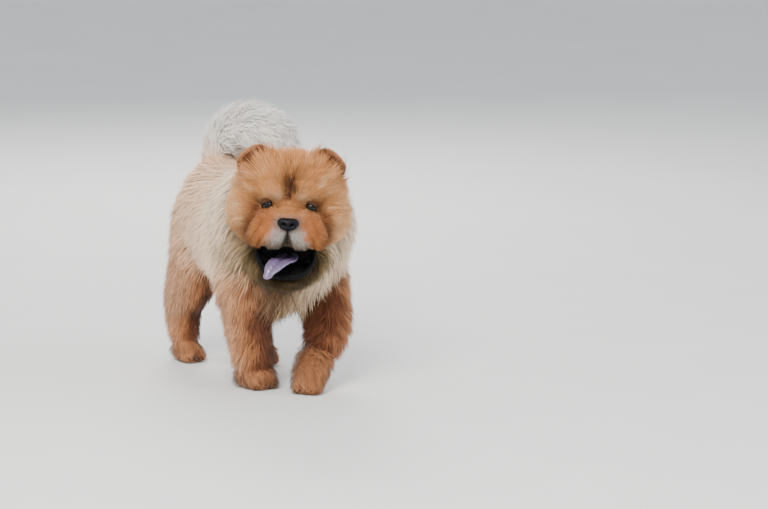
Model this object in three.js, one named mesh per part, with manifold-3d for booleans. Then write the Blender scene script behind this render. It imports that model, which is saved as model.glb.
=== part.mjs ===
// A life-size chow chow, walking, as a still museum model.
// Millimetres, +Z up. The dog walks towards -Y, so its left side is +X.
import * as THREE from "three";
import { mergeVertices } from "three/addons/utils/BufferGeometryUtils.js";
import Module from "manifold-3d";

const wasm = await Module();
wasm.setup();

const point = (x, y, z) => new THREE.Vector3(x, y, z);
const UP = point(0, 0, 1);
const AHEAD = point(0, -1, 0);

// Clear space between touching pieces.
const GAP = 0.4;
// How far a lock's root is sunk in the core, and how quickly a lock narrows.
const LOCK_SINK = 12;
const LOCK_TAPER = 0.75;
// Share of the coat's depth that each piece's core takes up, under its locks.
const CORE = 0.45;
// Radius within which a core can hold a place beyond its nearest section.
const CORE_REACH = 30;
// Share of a form's length, counted from 0 to 1, that each of its two caps takes up.
const CAP_SHARE = 0.2;

// Where the head is carried: the point midway between the eyes, and how far it turns and tips.
const HEAD_AT = point(-60, -333, 466);
const HEAD_TURN = THREE.MathUtils.degToRad(-26);
const HEAD_TIP = THREE.MathUtils.degToRad(3.6);
const HEAD_PLACE = new THREE.Matrix4()
  .makeTranslation(HEAD_AT)
  .multiply(new THREE.Matrix4().makeRotationZ(HEAD_TURN))
  .multiply(new THREE.Matrix4().makeRotationY(HEAD_TIP));

// Eyes, ears and nose, measured from the point between the eyes.
const EYE_SPREAD = 52;
const EYE_DEPTH = -43;
const EYE_HEIGHT = 6;
const EYE_RADIUS = 12.5;
const EAR_SPREAD = 74;
const EAR_HEIGHT = 84;
const EAR_BACK = 4;
const EAR_SPLAY = THREE.MathUtils.degToRad(39);

// A form is a rounded tube: a row for each section, then a domed cap at each end.
// A row is [x, y, z, half width, half depth, coat depth] and may add a shift of the coat, [x, y, z].
class Form {
  constructor({ rows, up, caps, sides = 16, rings = 2, capRings = 3, place = new THREE.Matrix4() }) {
    const turn = new THREE.Matrix3().setFromMatrix4(place);
    this.rows = rows.map(([x, y, z, wide, deep, coat, shiftX = 0, shiftY = 0, shiftZ = 0]) => {
      const centre = point(x, y, z).applyMatrix4(place);
      const shift = point(shiftX, shiftY, shiftZ).applyMatrix3(turn);
      return [...centre.toArray(), wide, deep, coat, ...shift.toArray()];
    });
    this.up = up.clone().applyMatrix3(turn);
    this.caps = caps;
    this.sides = sides;
    this.rings = rings;
    this.capRings = capRings;
  }

  // The row at place t along the form, blended smoothly between the rows on either side.
  row(t) {
    const last = this.rows.length - 1;
    const at = THREE.MathUtils.clamp(t, 0, last);
    const i = Math.min(Math.floor(at), Math.max(last - 1, 0));
    const f = at - i;
    const [a, b, c, d] = [-1, 0, 1, 2].map((k) => this.rows[THREE.MathUtils.clamp(i + k, 0, last)]);
    return b.map((_, k) => {
      const slopeIn = (c[k] - a[k]) / 2;
      const slopeOut = (d[k] - b[k]) / 2;
      const rise = c[k] - b[k];
      const square = 3 * rise - 2 * slopeIn - slopeOut;
      const cube = slopeIn + slopeOut - 2 * rise;
      return b[k] + f * (slopeIn + f * (square + f * cube));
    });
  }

  centre(t, fill) {
    const row = this.row(t);
    return point(row[0] + fill * row[6], row[1] + fill * row[7], row[2] + fill * row[8]);
  }

  // Centre, directions and half sizes of the section at t, with that share of the coat and that much growth.
  section(t, fill, grow) {
    const row = this.row(t);
    const last = this.rows.length - 1;
    const ahead = this.centre(Math.min(t + 0.05, last), fill);
    const along = ahead.sub(this.centre(Math.max(t - 0.05, 0), fill)).normalize();
    const side = this.up.clone().cross(along).normalize();
    return {
      centre: this.centre(t, fill),
      along,
      side,
      rise: along.clone().cross(side),
      wide: row[3] + fill * row[5] + grow,
      deep: row[4] + fill * row[5] + grow,
      coat: row[5],
    };
  }

  // The section at s, where 0 and 1 are the tips of the caps.
  ring(s, fill, grow) {
    const inCap = Math.min(s / CAP_SHARE, (1 - s) / CAP_SHARE, 1);
    const t = THREE.MathUtils.clamp((s - CAP_SHARE) / (1 - 2 * CAP_SHARE), 0, 1) * (this.rows.length - 1);
    const cut = this.section(t, fill, grow);
    const bend = (inCap * Math.PI) / 2;
    const end = s < 0.5 ? 0 : 1;
    const reach = (this.caps[end] + fill * cut.coat + grow) * Math.cos(bend) * (end ? 1 : -1);
    cut.centre.addScaledVector(cut.along, reach);
    cut.wide *= Math.sin(bend);
    cut.deep *= Math.sin(bend);
    return cut;
  }

  surface(s, angle, fill, grow = 0) {
    const { centre, side, rise, wide, deep } = this.ring(s, fill, grow);
    return centre
      .addScaledVector(side, wide * Math.cos(angle))
      .addScaledVector(rise, deep * Math.sin(angle));
  }

  // Length round the core at s.
  girth(s) {
    const { wide, deep } = this.ring(s, CORE, 0);
    return Math.PI * (wide + deep);
  }

  // Whether the core, with a margin, holds a place.
  holds(place, margin) {
    let nearest = Infinity;
    let inside = false;
    for (let k = 1; k < 24; k++) {
      const { centre, along, side, rise, wide, deep } = this.ring(k / 24, CORE, margin);
      const offset = place.clone().sub(centre);
      const ahead = Math.abs(offset.dot(along));
      if (ahead < nearest) {
        nearest = ahead;
        inside = Math.hypot(offset.dot(side) / wide, offset.dot(rise) / deep) < 1;
      }
    }
    return inside && nearest < CORE_REACH;
  }

  geometry(fill, grow = 0) {
    const body = (this.rows.length - 1) * this.rings;
    const levels = [];
    for (let i = 0; i < this.capRings; i++) levels.push((CAP_SHARE * i) / this.capRings);
    for (let i = 0; i <= body; i++) levels.push(CAP_SHARE + ((1 - 2 * CAP_SHARE) * i) / body);
    for (let i = 1; i <= this.capRings; i++) levels.push(1 - CAP_SHARE + (CAP_SHARE * i) / this.capRings);
    const made = new THREE.SphereGeometry(1, this.sides, levels.length - 1);
    const position = made.getAttribute("position");
    for (let k = 0; k < position.count; k++) {
      const level = Math.floor(k / (this.sides + 1));
      const step = k % (this.sides + 1) % this.sides;
      const at = this.surface(levels[level], (step / this.sides) * 2 * Math.PI, fill, grow);
      position.setXYZ(k, at.x, at.y, at.z);
    }
    return made;
  }
}

// A solid from a closed geometry, whichever way its faces were wound.
function solid(geometry) {
  const bare = geometry.clone();
  bare.deleteAttribute("normal");
  bare.deleteAttribute("uv");
  const merged = mergeVertices(bare, 1e-3);
  const made = (triVerts) =>
    new wasm.Manifold(
      new wasm.Mesh({
        numProp: 3,
        vertProperties: new Float32Array(merged.getAttribute("position").array),
        triVerts,
      }),
    );
  const triVerts = new Uint32Array(merged.index.array).filter((_, i, all) => {
    const [a, b, c] = [0, 1, 2].map((k) => all[i - (i % 3) + k]);
    return a !== b && b !== c && a !== c;
  });
  const whole = made(triVerts);
  return whole.volume() > 0 ? whole : made(triVerts.reverse());
}

const join = (solids) => wasm.Manifold.union(solids);

// Only the largest closed surface, so no scrap and no sealed hollow stays.
function largest(whole) {
  return whole.decompose().reduce((best, each) => (each.volume() > best.volume() ? each : best));
}

const mirrored = (rows) => rows.map(([x, ...rest]) => [-x, ...rest]);

// Trunk from breastbone to rump: y, height, half width, half depth, coat depth, how far the coat hangs.
const trunkRows = [
  [-196, 340, 70, 88, 60, -18],
  [-150, 346, 92, 116, 64, -20],
  [-85, 354, 100, 126, 58, -14],
  [0, 360, 98, 116, 50, -8],
  [85, 366, 92, 106, 46, -4],
  [160, 376, 82, 100, 42, 0],
  [208, 378, 64, 86, 40, 0],
].map(([y, z, wide, deep, coat, drop]) => [0, y, z, wide, deep, coat, 0, 0, drop]);
const trunk = new Form({ rows: trunkRows, up: UP, caps: [26, 28], sides: 18, rings: 1 });

// Neck, from between the shoulders to the back of the skull, deep in the ruff.
const neck = new Form({
  rows: [
    [6, -112, 384, 88, 100, 62, 0, 0, 0],
    [0, -166, 404, 88, 98, 86, 0, -6, -12],
    [-14, -222, 432, 80, 88, 86, 0, -6, -16],
    [-34, -268, 452, 72, 78, 70, 0, -4, -10],
  ],
  up: UP,
  caps: [24, 20],
  sides: 18,
  rings: 1,
});

// Head, in its own frame.
const skull = new Form({
  rows: [
    [0, -18, 36, 72, 56, 6],
    [0, 12, 30, 84, 76, 20],
    [0, 54, 24, 88, 78, 34],
    [0, 88, 18, 74, 64, 40],
  ],
  up: UP,
  caps: [24, 24],
  sides: 18,
  rings: 1,
  place: HEAD_PLACE,
});
const cheekRows = [
  [58, -12, -48, 26, 34, 12],
  [68, 12, -38, 38, 50, 28, 4, 4, -2],
  [74, 44, -24, 42, 58, 38, 8, 8, -4],
];
const cheek = (rows) => new Form({ rows, up: UP, caps: [18, 24], sides: 12, rings: 1, place: HEAD_PLACE });
const muzzle = new Form({
  rows: [
    [0, -24, -40, 46, 34, 5],
    [0, -64, -44, 49, 36, 5],
    [0, -96, -46, 42, 32, 4],
  ],
  up: UP,
  caps: [14, 16],
  sides: 14,
  rings: 1,
  place: HEAD_PLACE,
});
const flewRows = [
  [38, -34, -60, 22, 28, 5],
  [35, -62, -62, 24, 31, 5],
  [28, -88, -60, 24, 28, 4],
];
const flew = (rows) => new Form({ rows, up: UP, caps: [16, 18], sides: 10, rings: 1, place: HEAD_PLACE });
const browRows = [
  [16, -40, 33, 13, 12, 4],
  [42, -40, 35, 14, 12, 5],
  [70, -28, 24, 13, 11, 6],
];
const brow = (rows) =>
  new Form({ rows, up: AHEAD, caps: [10, 10], sides: 8, rings: 1, capRings: 2, place: HEAD_PLACE });

const nose = new Form({
  rows: [
    [-10, -110, -26, 15, 14, 0],
    [10, -110, -26, 15, 14, 0],
  ],
  up: UP,
  caps: [15, 15],
  sides: 14,
  rings: 1,
  place: HEAD_PLACE,
});

// Lower lip, dropped open, with the floor and the back of the mouth, and the chin under them.
const jawRows = [
  [64, 4, -104, 12, 14, 0],
  [62, -28, -130, 12, 14, 0],
  [40, -58, -150, 12, 14, 0],
  [0, -72, -157, 12, 14, 0],
];
const jaw = new Form({
  rows: [...jawRows, ...mirrored(jawRows.slice(0, 3)).reverse()],
  up: UP,
  caps: [14, 14],
  sides: 10,
  rings: 1,
  place: HEAD_PLACE,
});
const mouthFloor = new Form({
  rows: [
    [0, -48, -152, 48, 10, 0],
    [0, -4, -140, 66, 14, 0],
  ],
  up: UP,
  caps: [20, 16],
  sides: 10,
  rings: 1,
  capRings: 2,
  place: HEAD_PLACE,
});
const gullet = new Form({
  rows: [
    [0, 2, -116, 66, 30, 0],
    [0, 18, -114, 64, 28, 0],
  ],
  up: UP,
  caps: [8, 8],
  sides: 10,
  rings: 1,
  capRings: 2,
  place: HEAD_PLACE,
});
const chin = new Form({
  rows: [
    [0, -42, -174, 34, 10, 10, 0, 0, -2],
    [0, -4, -156, 52, 28, 24, 0, 0, -4],
    [0, 40, -122, 62, 44, 46, 0, 0, -6],
  ],
  up: UP,
  caps: [18, 24],
  sides: 12,
  rings: 1,
  place: HEAD_PLACE,
});
const tongue = new Form({
  rows: [
    [6, 0, -118, 20, 7, 0],
    [0, -40, -122, 22, 7, 0],
    [-16, -80, -126, 22, 6, 0],
    [-32, -102, -142, 19, 5, 0],
    [-38, -107, -160, 15, 4.5, 0],
  ],
  up: UP,
  caps: [14, 10],
  sides: 10,
  rings: 1,
  place: HEAD_PLACE,
});

// Ears: a low, thick, rounded flap each, hollowed in front.
function ear(sign) {
  const out = point(sign * Math.sin(EAR_SPLAY), -0.1, Math.cos(EAR_SPLAY));
  const row = (up, wide, thick, coat) => {
    const at = point(sign * EAR_SPREAD, EAR_BACK, EAR_HEIGHT).addScaledVector(out, up);
    return [at.x, at.y, at.z, wide, thick, coat];
  };
  const flap = new Form({
    rows: [row(-20, 40, 13, 6), row(10, 43, 13, 7), row(34, 36, 11, 8)],
    up: AHEAD,
    caps: [8, 14],
    sides: 16,
    rings: 1,
    place: HEAD_PLACE,
  });
  const hollow = new Form({
    rows: [row(14, 34, 12, 0), row(32, 29, 10, 0)].map(([x, y, z, ...rest]) => [x, y - 14, z, ...rest]),
    up: AHEAD,
    caps: [16, 14],
    sides: 12,
    rings: 1,
    capRings: 2,
    place: HEAD_PLACE,
  });
  return { flap, hollow };
}

// Tail, from the croup up and forward over the back, a little to the left.
const tail = new Form({
  rows: [
    [4, 196, 468, 24, 24, 18],
    [8, 204, 506, 22, 22, 24],
    [20, 186, 542, 20, 20, 40],
    [38, 146, 566, 18, 18, 56],
    [58, 96, 570, 15, 15, 62],
    [74, 50, 556, 11, 11, 56],
  ],
  up: point(1, 0, 0),
  caps: [14, 20],
  sides: 12,
  rings: 1,
});

// Legs, from shoulder or hip to the wrist or hock, and the paws.
const legRows = {
  foreleg_right: [
    [-66, -144, 304, 38, 58, 36],
    [-84, -138, 250, 40, 54, 38],
    [-80, -138, 190, 32, 40, 36, 0, 8, 0],
    [-73, -144, 120, 26, 30, 34, 0, 8, 0],
    [-68, -148, 70, 26, 28, 30, 0, 4, 0],
  ],
  foreleg_left: [
    [78, -146, 304, 38, 58, 36],
    [102, -154, 254, 40, 54, 36],
    [106, -186, 200, 34, 42, 34, 0, 6, -4],
    [94, -222, 148, 29, 33, 32, 4, 6, -6],
    [70, -244, 108, 27, 29, 26, 4, 4, -6],
  ],
  hindleg_right: [
    [-52, 172, 366, 38, 76, 32, 0, 14, 0],
    [-62, 162, 296, 40, 74, 34, 0, 18, 0],
    [-70, 182, 226, 33, 54, 36, 0, 18, -4],
    [-76, 230, 160, 25, 36, 32, 0, 8, -4],
    [-76, 244, 100, 22, 27, 26, 0, 4, 0],
    [-78, 238, 60, 22, 24, 20],
  ],
  hindleg_left: [
    [56, 166, 366, 38, 76, 36, 0, 14, 0],
    [70, 138, 296, 40, 74, 38, 0, 18, 0],
    [74, 128, 226, 33, 54, 38, 0, 18, -4],
    [72, 150, 160, 25, 36, 32, 0, 8, -4],
    [70, 142, 100, 22, 27, 26, 0, 4, 0],
    [67, 122, 60, 22, 24, 20],
  ],
};
const pawRows = {
  forepaw_right: [
    [-66, -136, 32, 30, 30, 14],
    [-64, -162, 26, 34, 26, 14],
    [-62, -184, 22, 32, 20, 12],
  ],
  forepaw_left: [
    [46, -254, 76, 28, 28, 14],
    [24, -268, 45, 32, 28, 14],
    [10, -280, 18, 32, 24, 12],
  ],
  hindpaw_right: [
    [-80, 234, 30, 24, 26, 10],
    [-80, 208, 24, 28, 24, 10],
    [-80, 186, 20, 27, 18, 9],
  ],
  hindpaw_left: [
    [66, 114, 30, 26, 26, 12],
    [64, 88, 24, 30, 24, 12],
    [62, 66, 20, 29, 18, 10],
  ],
};
const legs = Object.fromEntries(
  Object.entries(legRows).map(([name, rows]) => [
    name,
    new Form({ rows, up: AHEAD, caps: [30, 16], sides: 12, rings: 1, capRings: 2 }),
  ]),
);
const paws = Object.fromEntries(
  Object.entries(pawRows).map(([name, rows]) => [
    name,
    new Form({ rows, up: UP, caps: [14, 12], sides: 12, rings: 1 }),
  ]),
);

// Eyes: a ball each, with an upper and a lower lid that follow it round.
function ball(centre, radius) {
  const made = new THREE.SphereGeometry(radius, 14, 9);
  made.translate(centre.x, centre.y, centre.z);
  return made;
}
const eyeCentre = (sign) => point(sign * EYE_SPREAD, EYE_DEPTH, EYE_HEIGHT).applyMatrix4(HEAD_PLACE);
function lid(sign, arch) {
  const rows = [-1, -0.55, 0, 0.55, 1].map((k) => {
    const across = k * 14;
    const lift = EYE_HEIGHT + arch * (1 - k * k) * 8 - sign * k * 2.6;
    const proud = EYE_DEPTH - EYE_RADIUS + 5.5 * k * k;
    return [sign * EYE_SPREAD + across, proud, lift, 3.6, 3.2, 0];
  });
  return new Form({ rows, up: UP, caps: [3, 3], sides: 6, rings: 1, capRings: 2, place: HEAD_PLACE });
}

// Everything under the floor is cut away, which leaves a small flat on each paw.
const underFloor = solid(new THREE.BoxGeometry(2000, 2000, 400).translate(0, 0, -200));

const material = (hex, roughness) => new THREE.MeshStandardMaterial({ color: hex, roughness, metalness: 0 });
const redCoat = material(0xb9794c, 0.95);
const creamCoat = material(0xd8bfa2, 0.95);
const whiteCoat = material(0xe9dfd6, 0.95);
const faceCoat = material(0xa8683f, 0.95);
const darkLeather = material(0x1b1d24, 0.45);
const lipSkin = material(0x15141a, 0.4);
const tongueSkin = material(0x6f6288, 0.35);
const eyeGlass = material(0x17100c, 0.08);

// Repeatable random numbers between 0 and 1.
function seeded(seed) {
  let state = seed;
  return () => {
    state = (Math.imul(state, 1664525) + 1013904223) >>> 0;
    return state / 4294967296;
  };
}

// A lock of hair: a flat, tapered cone bent along a curve from its sunk root to its tip.
class Lock {
  constructor({ path, side, wide, thick }) {
    this.path = path;
    this.side = side;
    this.wide = wide;
    this.thick = thick;
  }

  solid(grow) {
    const made = new THREE.ConeGeometry(1, 1, 4, 3);
    const position = made.getAttribute("position");
    for (let k = 0; k < position.count; k++) {
      const u = position.getY(k) + 0.5;
      const along = this.path.getTangent(THREE.MathUtils.clamp(u, 1 / 6, 5 / 6));
      const across = this.side.clone().addScaledVector(along, -this.side.dot(along)).normalize();
      const flat = along.clone().cross(across);
      const taper = u < 1 ? Math.pow(1 - u, LOCK_TAPER - 1) : 0;
      const past = u === 1 ? 3 * grow : u === 0 ? -grow : 0;
      const at = this.path
        .getPoint(u)
        .addScaledVector(along, past)
        .addScaledVector(across, position.getX(k) * taper * (this.wide + 2 * grow))
        .addScaledVector(flat, position.getZ(k) * taper * (this.thick + 2 * grow));
      position.setXYZ(k, at.x, at.y, at.z);
    }
    return solid(made);
  }
}

// Locks in staggered rows over a form, lying along the flow, with their tips on the coat's outline.
function locksOver(form, plan, others) {
  const { from, to, rows, spacing, length, wide, thick, flow, where = () => true, seed } = plan;
  const random = seeded(seed);
  const spread = (size) => (random() - 0.5) * size;
  const made = [];
  const step = (to - from) / rows;
  for (let j = 0; j < rows; j++) {
    const level = from + (j + 0.5) * step;
    const girth = form.girth(level);
    const count = Math.max(3, Math.round(girth / spacing));
    for (let i = 0; i < count; i++) {
      for (let tries = 0; tries < 4; tries++) {
        const s = THREE.MathUtils.clamp(level + spread(step * 0.6), 0.01, 0.99);
        const angle = ((i + (j % 2) / 2 + spread(0.5)) / count) * 2 * Math.PI;
        const lock = lockAt(form, s, angle, {
          length: length * (1 + spread(0.3)),
          wide: wide * (1 + spread(0.25)),
          thick,
          flow,
          where,
        });
        if (!lock) break;
        const blocked = (u) => others.some((other) => other.holds(lock.path.getPoint(u), 2));
        const clear = ![0.35, 0.6, 0.8, 1].some(blocked);
        if (clear) {
          made.push(lock);
          break;
        }
      }
    }
  }
  return made;
}

// One lock, rooted at a place on a form's core.
function lockAt(form, s, angle, { length, wide, thick, flow, where }) {
  const root = form.surface(s, angle, CORE);
  const skin = form.surface(s, angle, 1);
  const slope = (ds, da) =>
    form
      .surface(s + ds, angle + da, 1)
      .sub(form.surface(s - ds, angle - da, 1))
      .divideScalar(2 * (ds + da));
  const alongS = slope(0.004, 0);
  const alongA = slope(0, 0.02);
  const normal = alongS.clone().cross(alongA).normalize();
  if (normal.dot(skin.clone().sub(form.ring(s, 1, 0).centre)) < 0) normal.negate();
  const lie = flow(root, normal, form.ring(s, CORE, 0).along).clone();
  lie.addScaledVector(normal, -lie.dot(normal)).normalize();
  if (!where(root, normal)) return null;
  const ds = (lie.dot(alongS) / alongS.lengthSq()) * length;
  const da = (lie.dot(alongA) / alongA.lengthSq()) * length;
  const reached = THREE.MathUtils.clamp(s + ds, 0.02, 0.98);
  const tip = form.surface(reached, angle + THREE.MathUtils.clamp(da, -1.2, 1.2), 1);
  const cutShort = ds ? 1 - Math.abs((reached - s) / ds) : 0;
  const lengthways = Math.abs(lie.dot(alongS)) / alongS.length();
  tip.addScaledVector(lie, length * 0.7 * cutShort * lengthways);
  tip.z = Math.max(tip.z, 4);
  const lift = root.distanceTo(skin) * 0.85;
  const bend = root.clone().addScaledVector(normal, lift).addScaledVector(lie, length * 0.3);
  root.addScaledVector(normal, -LOCK_SINK).addScaledVector(lie, -LOCK_SINK * 0.4);
  return new Lock({
    path: new THREE.QuadraticBezierCurve3(root, bend, tip),
    side: normal.clone().cross(lie),
    wide: wide / 2,
    thick: thick / 2,
  });
}

const lying = (x, y, z) => () => point(x, y, z);
// Hair of the face lies away from the nose.
const nosePlace = point(0, -100, -26).applyMatrix4(HEAD_PLACE);
const fromNose = (root) => root.clone().sub(nosePlace).normalize().add(point(0, 0, -0.25));
// Hair of the tail lies along it, towards its tip.
const alongTail = (root, normal, along) => along;

const nostril = (sign) =>
  new Form({
    rows: [
      [sign * 9, -129, -27, 4.5, 4.5, 0],
      [sign * 12, -116, -26, 4, 4, 0],
    ],
    up: UP,
    caps: [3, 3],
    sides: 8,
    rings: 1,
    capRings: 2,
    place: HEAD_PLACE,
  });
const mouth = new Form({
  rows: [
    [0, -96, -122, 40, 24, 0],
    [0, -40, -118, 54, 24, 0],
    [0, 4, -112, 54, 20, 0],
  ],
  up: UP,
  caps: [30, 10],
  sides: 10,
  rings: 1,
  capRings: 2,
  place: HEAD_PLACE,
});
const cheeks = [cheek(cheekRows), cheek(mirrored(cheekRows))];
const ears = { ear_left: ear(1), ear_right: ear(-1) };

// Pieces in the order in which they claim their space: each is cut clear of the ones before it.
const pieces = [];
for (const [side, sign] of [["left", 1], ["right", -1]]) {
  pieces.push({ name: `eye_${side}`, finish: eyeGlass, ball: eyeCentre(sign) });
}
pieces.push(
  { name: "nose", finish: darkLeather, forms: [nose], cuts: [nostril(1), nostril(-1)] },
  { name: "tongue", finish: tongueSkin, forms: [tongue] },
  { name: "jaw", finish: lipSkin, forms: [jaw, mouthFloor, gullet] },
  {
    name: "chin",
    finish: faceCoat,
    forms: [chin],
    locks: [
      [chin, {
        from: 0.15, to: 0.75, rows: 2, spacing: 52, length: 50, wide: 42, thick: 11, seed: 31,
        flow: lying(0, 0.1, -1),
        where: (root, normal) => normal.z < 0.2,
      }],
    ],
  },
  {
    name: "head",
    finish: faceCoat,
    forms: [
      skull,
      ...cheeks,
      muzzle,
      flew(flewRows),
      flew(mirrored(flewRows)),
      brow(browRows),
      brow(mirrored(browRows)),
      ...[1, -1].flatMap((sign) => [lid(sign, 1), lid(sign, -1)]),
    ],
    cuts: [mouth],
    locks: [
      ...cheeks.map((form, k) => [form, {
        from: 0.34, to: 0.95, rows: 3, spacing: 56, length: 70, wide: 50, thick: 12, seed: 41 + k,
        flow: fromNose,
        where: (root, normal) => normal.x * (k ? -1 : 1) > -0.5,
      }]),
      [skull, {
        from: 0.5, to: 0.9, rows: 2, spacing: 62, length: 60, wide: 52, thick: 11, seed: 43,
        flow: fromNose,
        where: (root, normal) => normal.z > 0.2,
      }],
    ],
  },
  ...Object.entries(ears).map(([name, { flap, hollow }]) => ({
    name, finish: faceCoat, forms: [flap], cuts: [hollow],
  })),
  {
    name: "neck",
    finish: creamCoat,
    forms: [neck],
    locks: [
      [neck, {
        from: 0.14, to: 0.94, rows: 5, spacing: 64, length: 112, wide: 62, thick: 17, seed: 21,
        flow: lying(0, 0.7, -0.7),
      }],
    ],
  },
  {
    name: "torso",
    finish: creamCoat,
    forms: [trunk],
    locks: [
      [trunk, {
        from: 0.24, to: 0.97, rows: 6, spacing: 98, length: 122, wide: 88, thick: 16, seed: 11,
        flow: lying(0, 0.8, -0.6),
      }],
    ],
  },
  ...Object.entries(legs).map(([name, form], k) => ({
    name,
    finish: redCoat,
    forms: [form],
    locks: [
      [form, {
        from: 0.3, to: 0.93, rows: 3, spacing: 70, length: 84, wide: 62, thick: 13, seed: 51 + k,
        flow: lying(0, 0.45, -1),
      }],
    ],
  })),
  ...Object.entries(paws).map(([name, form]) => ({ name, finish: redCoat, forms: [form] })),
  {
    name: "tail",
    finish: whiteCoat,
    forms: [tail],
    locks: [
      [tail, {
        from: 0.12, to: 0.95, rows: 5, spacing: 50, length: 96, wide: 44, thick: 13, seed: 61,
        flow: alongTail,
      }],
    ],
  },
);

// The body of a piece without its locks, and the space that it keeps clear.
for (const each of pieces) {
  const shapes = (grow) =>
    each.ball
      ? [solid(ball(each.ball, EYE_RADIUS + grow))]
      : each.forms.map((form) => solid(form.geometry(CORE, grow)));
  each.core = join(shapes(0));
  each.room = join(shapes(GAP));
}
pieces.forEach((each, k) => {
  const cuts = (each.cuts ?? []).map((form) => solid(form.geometry(0)));
  each.core = each.core.subtract(join([underFloor, ...cuts, ...pieces.slice(0, k).map(({ room }) => room)]));
});

// The locks of each piece, cut clear of every other core and of the locks laid before them.
const laid = new Map();
for (const each of pieces) {
  each.body = each.core;
  if (!each.locks) continue;
  const others = pieces.filter((other) => other !== each);
  const forms = others.flatMap((other) => other.forms ?? []);
  const locks = each.locks.flatMap(([form, plan]) => locksOver(form, plan, forms));
  const taken = join([underFloor, ...others.map(({ room }) => room), ...laid.values()]);
  each.body = each.core.add(join(locks.map((lock) => lock.solid(0))).subtract(taken));
  laid.set(each, join(locks.map((lock) => lock.solid(GAP))));
}
for (const each of pieces) {
  const crossing = [...laid].filter(([other]) => other !== each).map(([, locks]) => locks);
  each.body = largest(each.locks ? each.body : each.body.subtract(join(crossing)));
}

// A mesh for a solid, in the frame of the group that carries it.
function meshOf({ name, finish, body }, group) {
  const { vertProperties, triVerts, numProp } = body.getMesh();
  const made = new THREE.BufferGeometry();
  const positions = new Float32Array((vertProperties.length / numProp) * 3);
  for (let i = 0; i < positions.length / 3; i++) {
    positions.set(vertProperties.subarray(i * numProp, i * numProp + 3), i * 3);
  }
  made.setAttribute("position", new THREE.BufferAttribute(positions, 3));
  made.setIndex(new THREE.BufferAttribute(new Uint32Array(triVerts), 1));
  made.applyMatrix4(group.matrix.clone().invert());
  made.computeVertexNormals();
  const mesh = new THREE.Mesh(made, finish);
  mesh.name = name;
  return mesh;
}

const dog = new THREE.Group();
const headGroup = new THREE.Group();
headGroup.applyMatrix4(HEAD_PLACE);
headGroup.updateMatrix();
const bodyGroup = new THREE.Group();
bodyGroup.updateMatrix();
dog.add(headGroup, bodyGroup);
const onHead = /^(eye|nose|tongue|jaw|chin|head|ear)/;
for (const each of pieces) {
  const group = onHead.test(each.name) ? headGroup : bodyGroup;
  group.add(meshOf(each, group));
}

// The model's middle stands over the origin.
const reach = new THREE.Box3().setFromObject(dog, true);
dog.position.set(-(reach.min.x + reach.max.x) / 2, -(reach.min.y + reach.max.y) / 2, 0);

export default dog;
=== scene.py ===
# A walking chow chow, a still museum model: one skin, a coat of solid tufts and the bare parts of the face.
import math
from dataclasses import dataclass

import bmesh
import bpy
import numpy as np
from mathutils import Matrix, Vector
from mathutils.bvhtree import BVHTree


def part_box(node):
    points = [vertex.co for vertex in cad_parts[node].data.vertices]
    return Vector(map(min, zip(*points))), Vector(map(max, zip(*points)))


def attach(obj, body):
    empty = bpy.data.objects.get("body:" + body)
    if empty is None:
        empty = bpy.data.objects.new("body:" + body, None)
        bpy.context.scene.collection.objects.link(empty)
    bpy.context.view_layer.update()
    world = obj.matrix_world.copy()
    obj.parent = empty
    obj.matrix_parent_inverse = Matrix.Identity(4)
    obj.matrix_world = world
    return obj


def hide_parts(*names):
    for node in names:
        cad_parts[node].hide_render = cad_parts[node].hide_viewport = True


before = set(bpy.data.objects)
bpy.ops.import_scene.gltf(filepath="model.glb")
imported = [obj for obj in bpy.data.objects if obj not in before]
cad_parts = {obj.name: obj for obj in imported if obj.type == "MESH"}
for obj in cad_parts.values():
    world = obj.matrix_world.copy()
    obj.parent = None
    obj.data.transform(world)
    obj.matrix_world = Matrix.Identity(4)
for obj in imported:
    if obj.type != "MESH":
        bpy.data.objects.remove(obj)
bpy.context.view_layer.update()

# Sizes are in millimetres in the dog's own frame: it walks towards -Y, and its left side is +X.
MM = 0.001
RNG_SEED = 20261125

# Head: the point between the eyes, how far it turns and tips, and the places of eyes, ears and nose on it.
HEAD_AT = np.array([-60.0, -333.0, 466.0])
HEAD_TURN = math.radians(-26)
HEAD_TIP = math.radians(3.6)
EYE_SPREAD = 52.0
EYE_DEPTH = -43.0
EYE_HEIGHT = 6.0
EYE_RADIUS = 12.5
EAR_SPREAD = 74.0
EAR_HEIGHT = 84.0
EAR_BACK = 4.0
EAR_SPLAY = math.radians(39)
NOSE_HEIGHT = -26.0
# The width of one fold beside the muzzle.
JOWL_FOLD = 15.0

# How much of the coat's depth the skin takes up, on the body and on the short coat of face and ears.
SKIN_FILL = 0.3
FACE_FILL = 0.45
# The share of a form's length that each domed cap takes, and the size of the skin's mesh.
CAP_SHARE = 0.2
VOXEL = 3.4
# The sizes of the meshes of nose, mouth and tongue.
NOSE_VOXEL = 1.1
MOUTH_VOXEL = 2.0
TONGUE_VOXEL = 1.2
# The size of a tuft's patch on the bake map.
PATCH = 0.003
# The least height of skin, claws and tufts over the floor.
SKIN_LIFT = 0.5
CLAW_LIFT = 2.6
TUFT_LIFT = 2.5
# Places looked at along a form when something is measured from it, and how far out it is measured.
STATIONS = 32
NEARBY = 62.5
FAR_AWAY = 500.0
# How softly one form's coat passes into the next one's.
FORM_BLEND = 9.0


def turn_about(axis, angle):
    """A 3 by 3 turn about the X, Y or Z axis."""
    return np.array(Matrix.Rotation(angle, 3, axis))


HEAD_TURNED = turn_about("Z", HEAD_TURN) @ turn_about("Y", HEAD_TIP)


def on_head(points):
    """Places measured on the head, in the dog's frame."""
    return np.asarray(points, float) @ HEAD_TURNED.T + HEAD_AT


def from_head(points):
    """Places in the dog's frame, measured on the head."""
    return (np.asarray(points, float) - HEAD_AT) @ HEAD_TURNED


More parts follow.
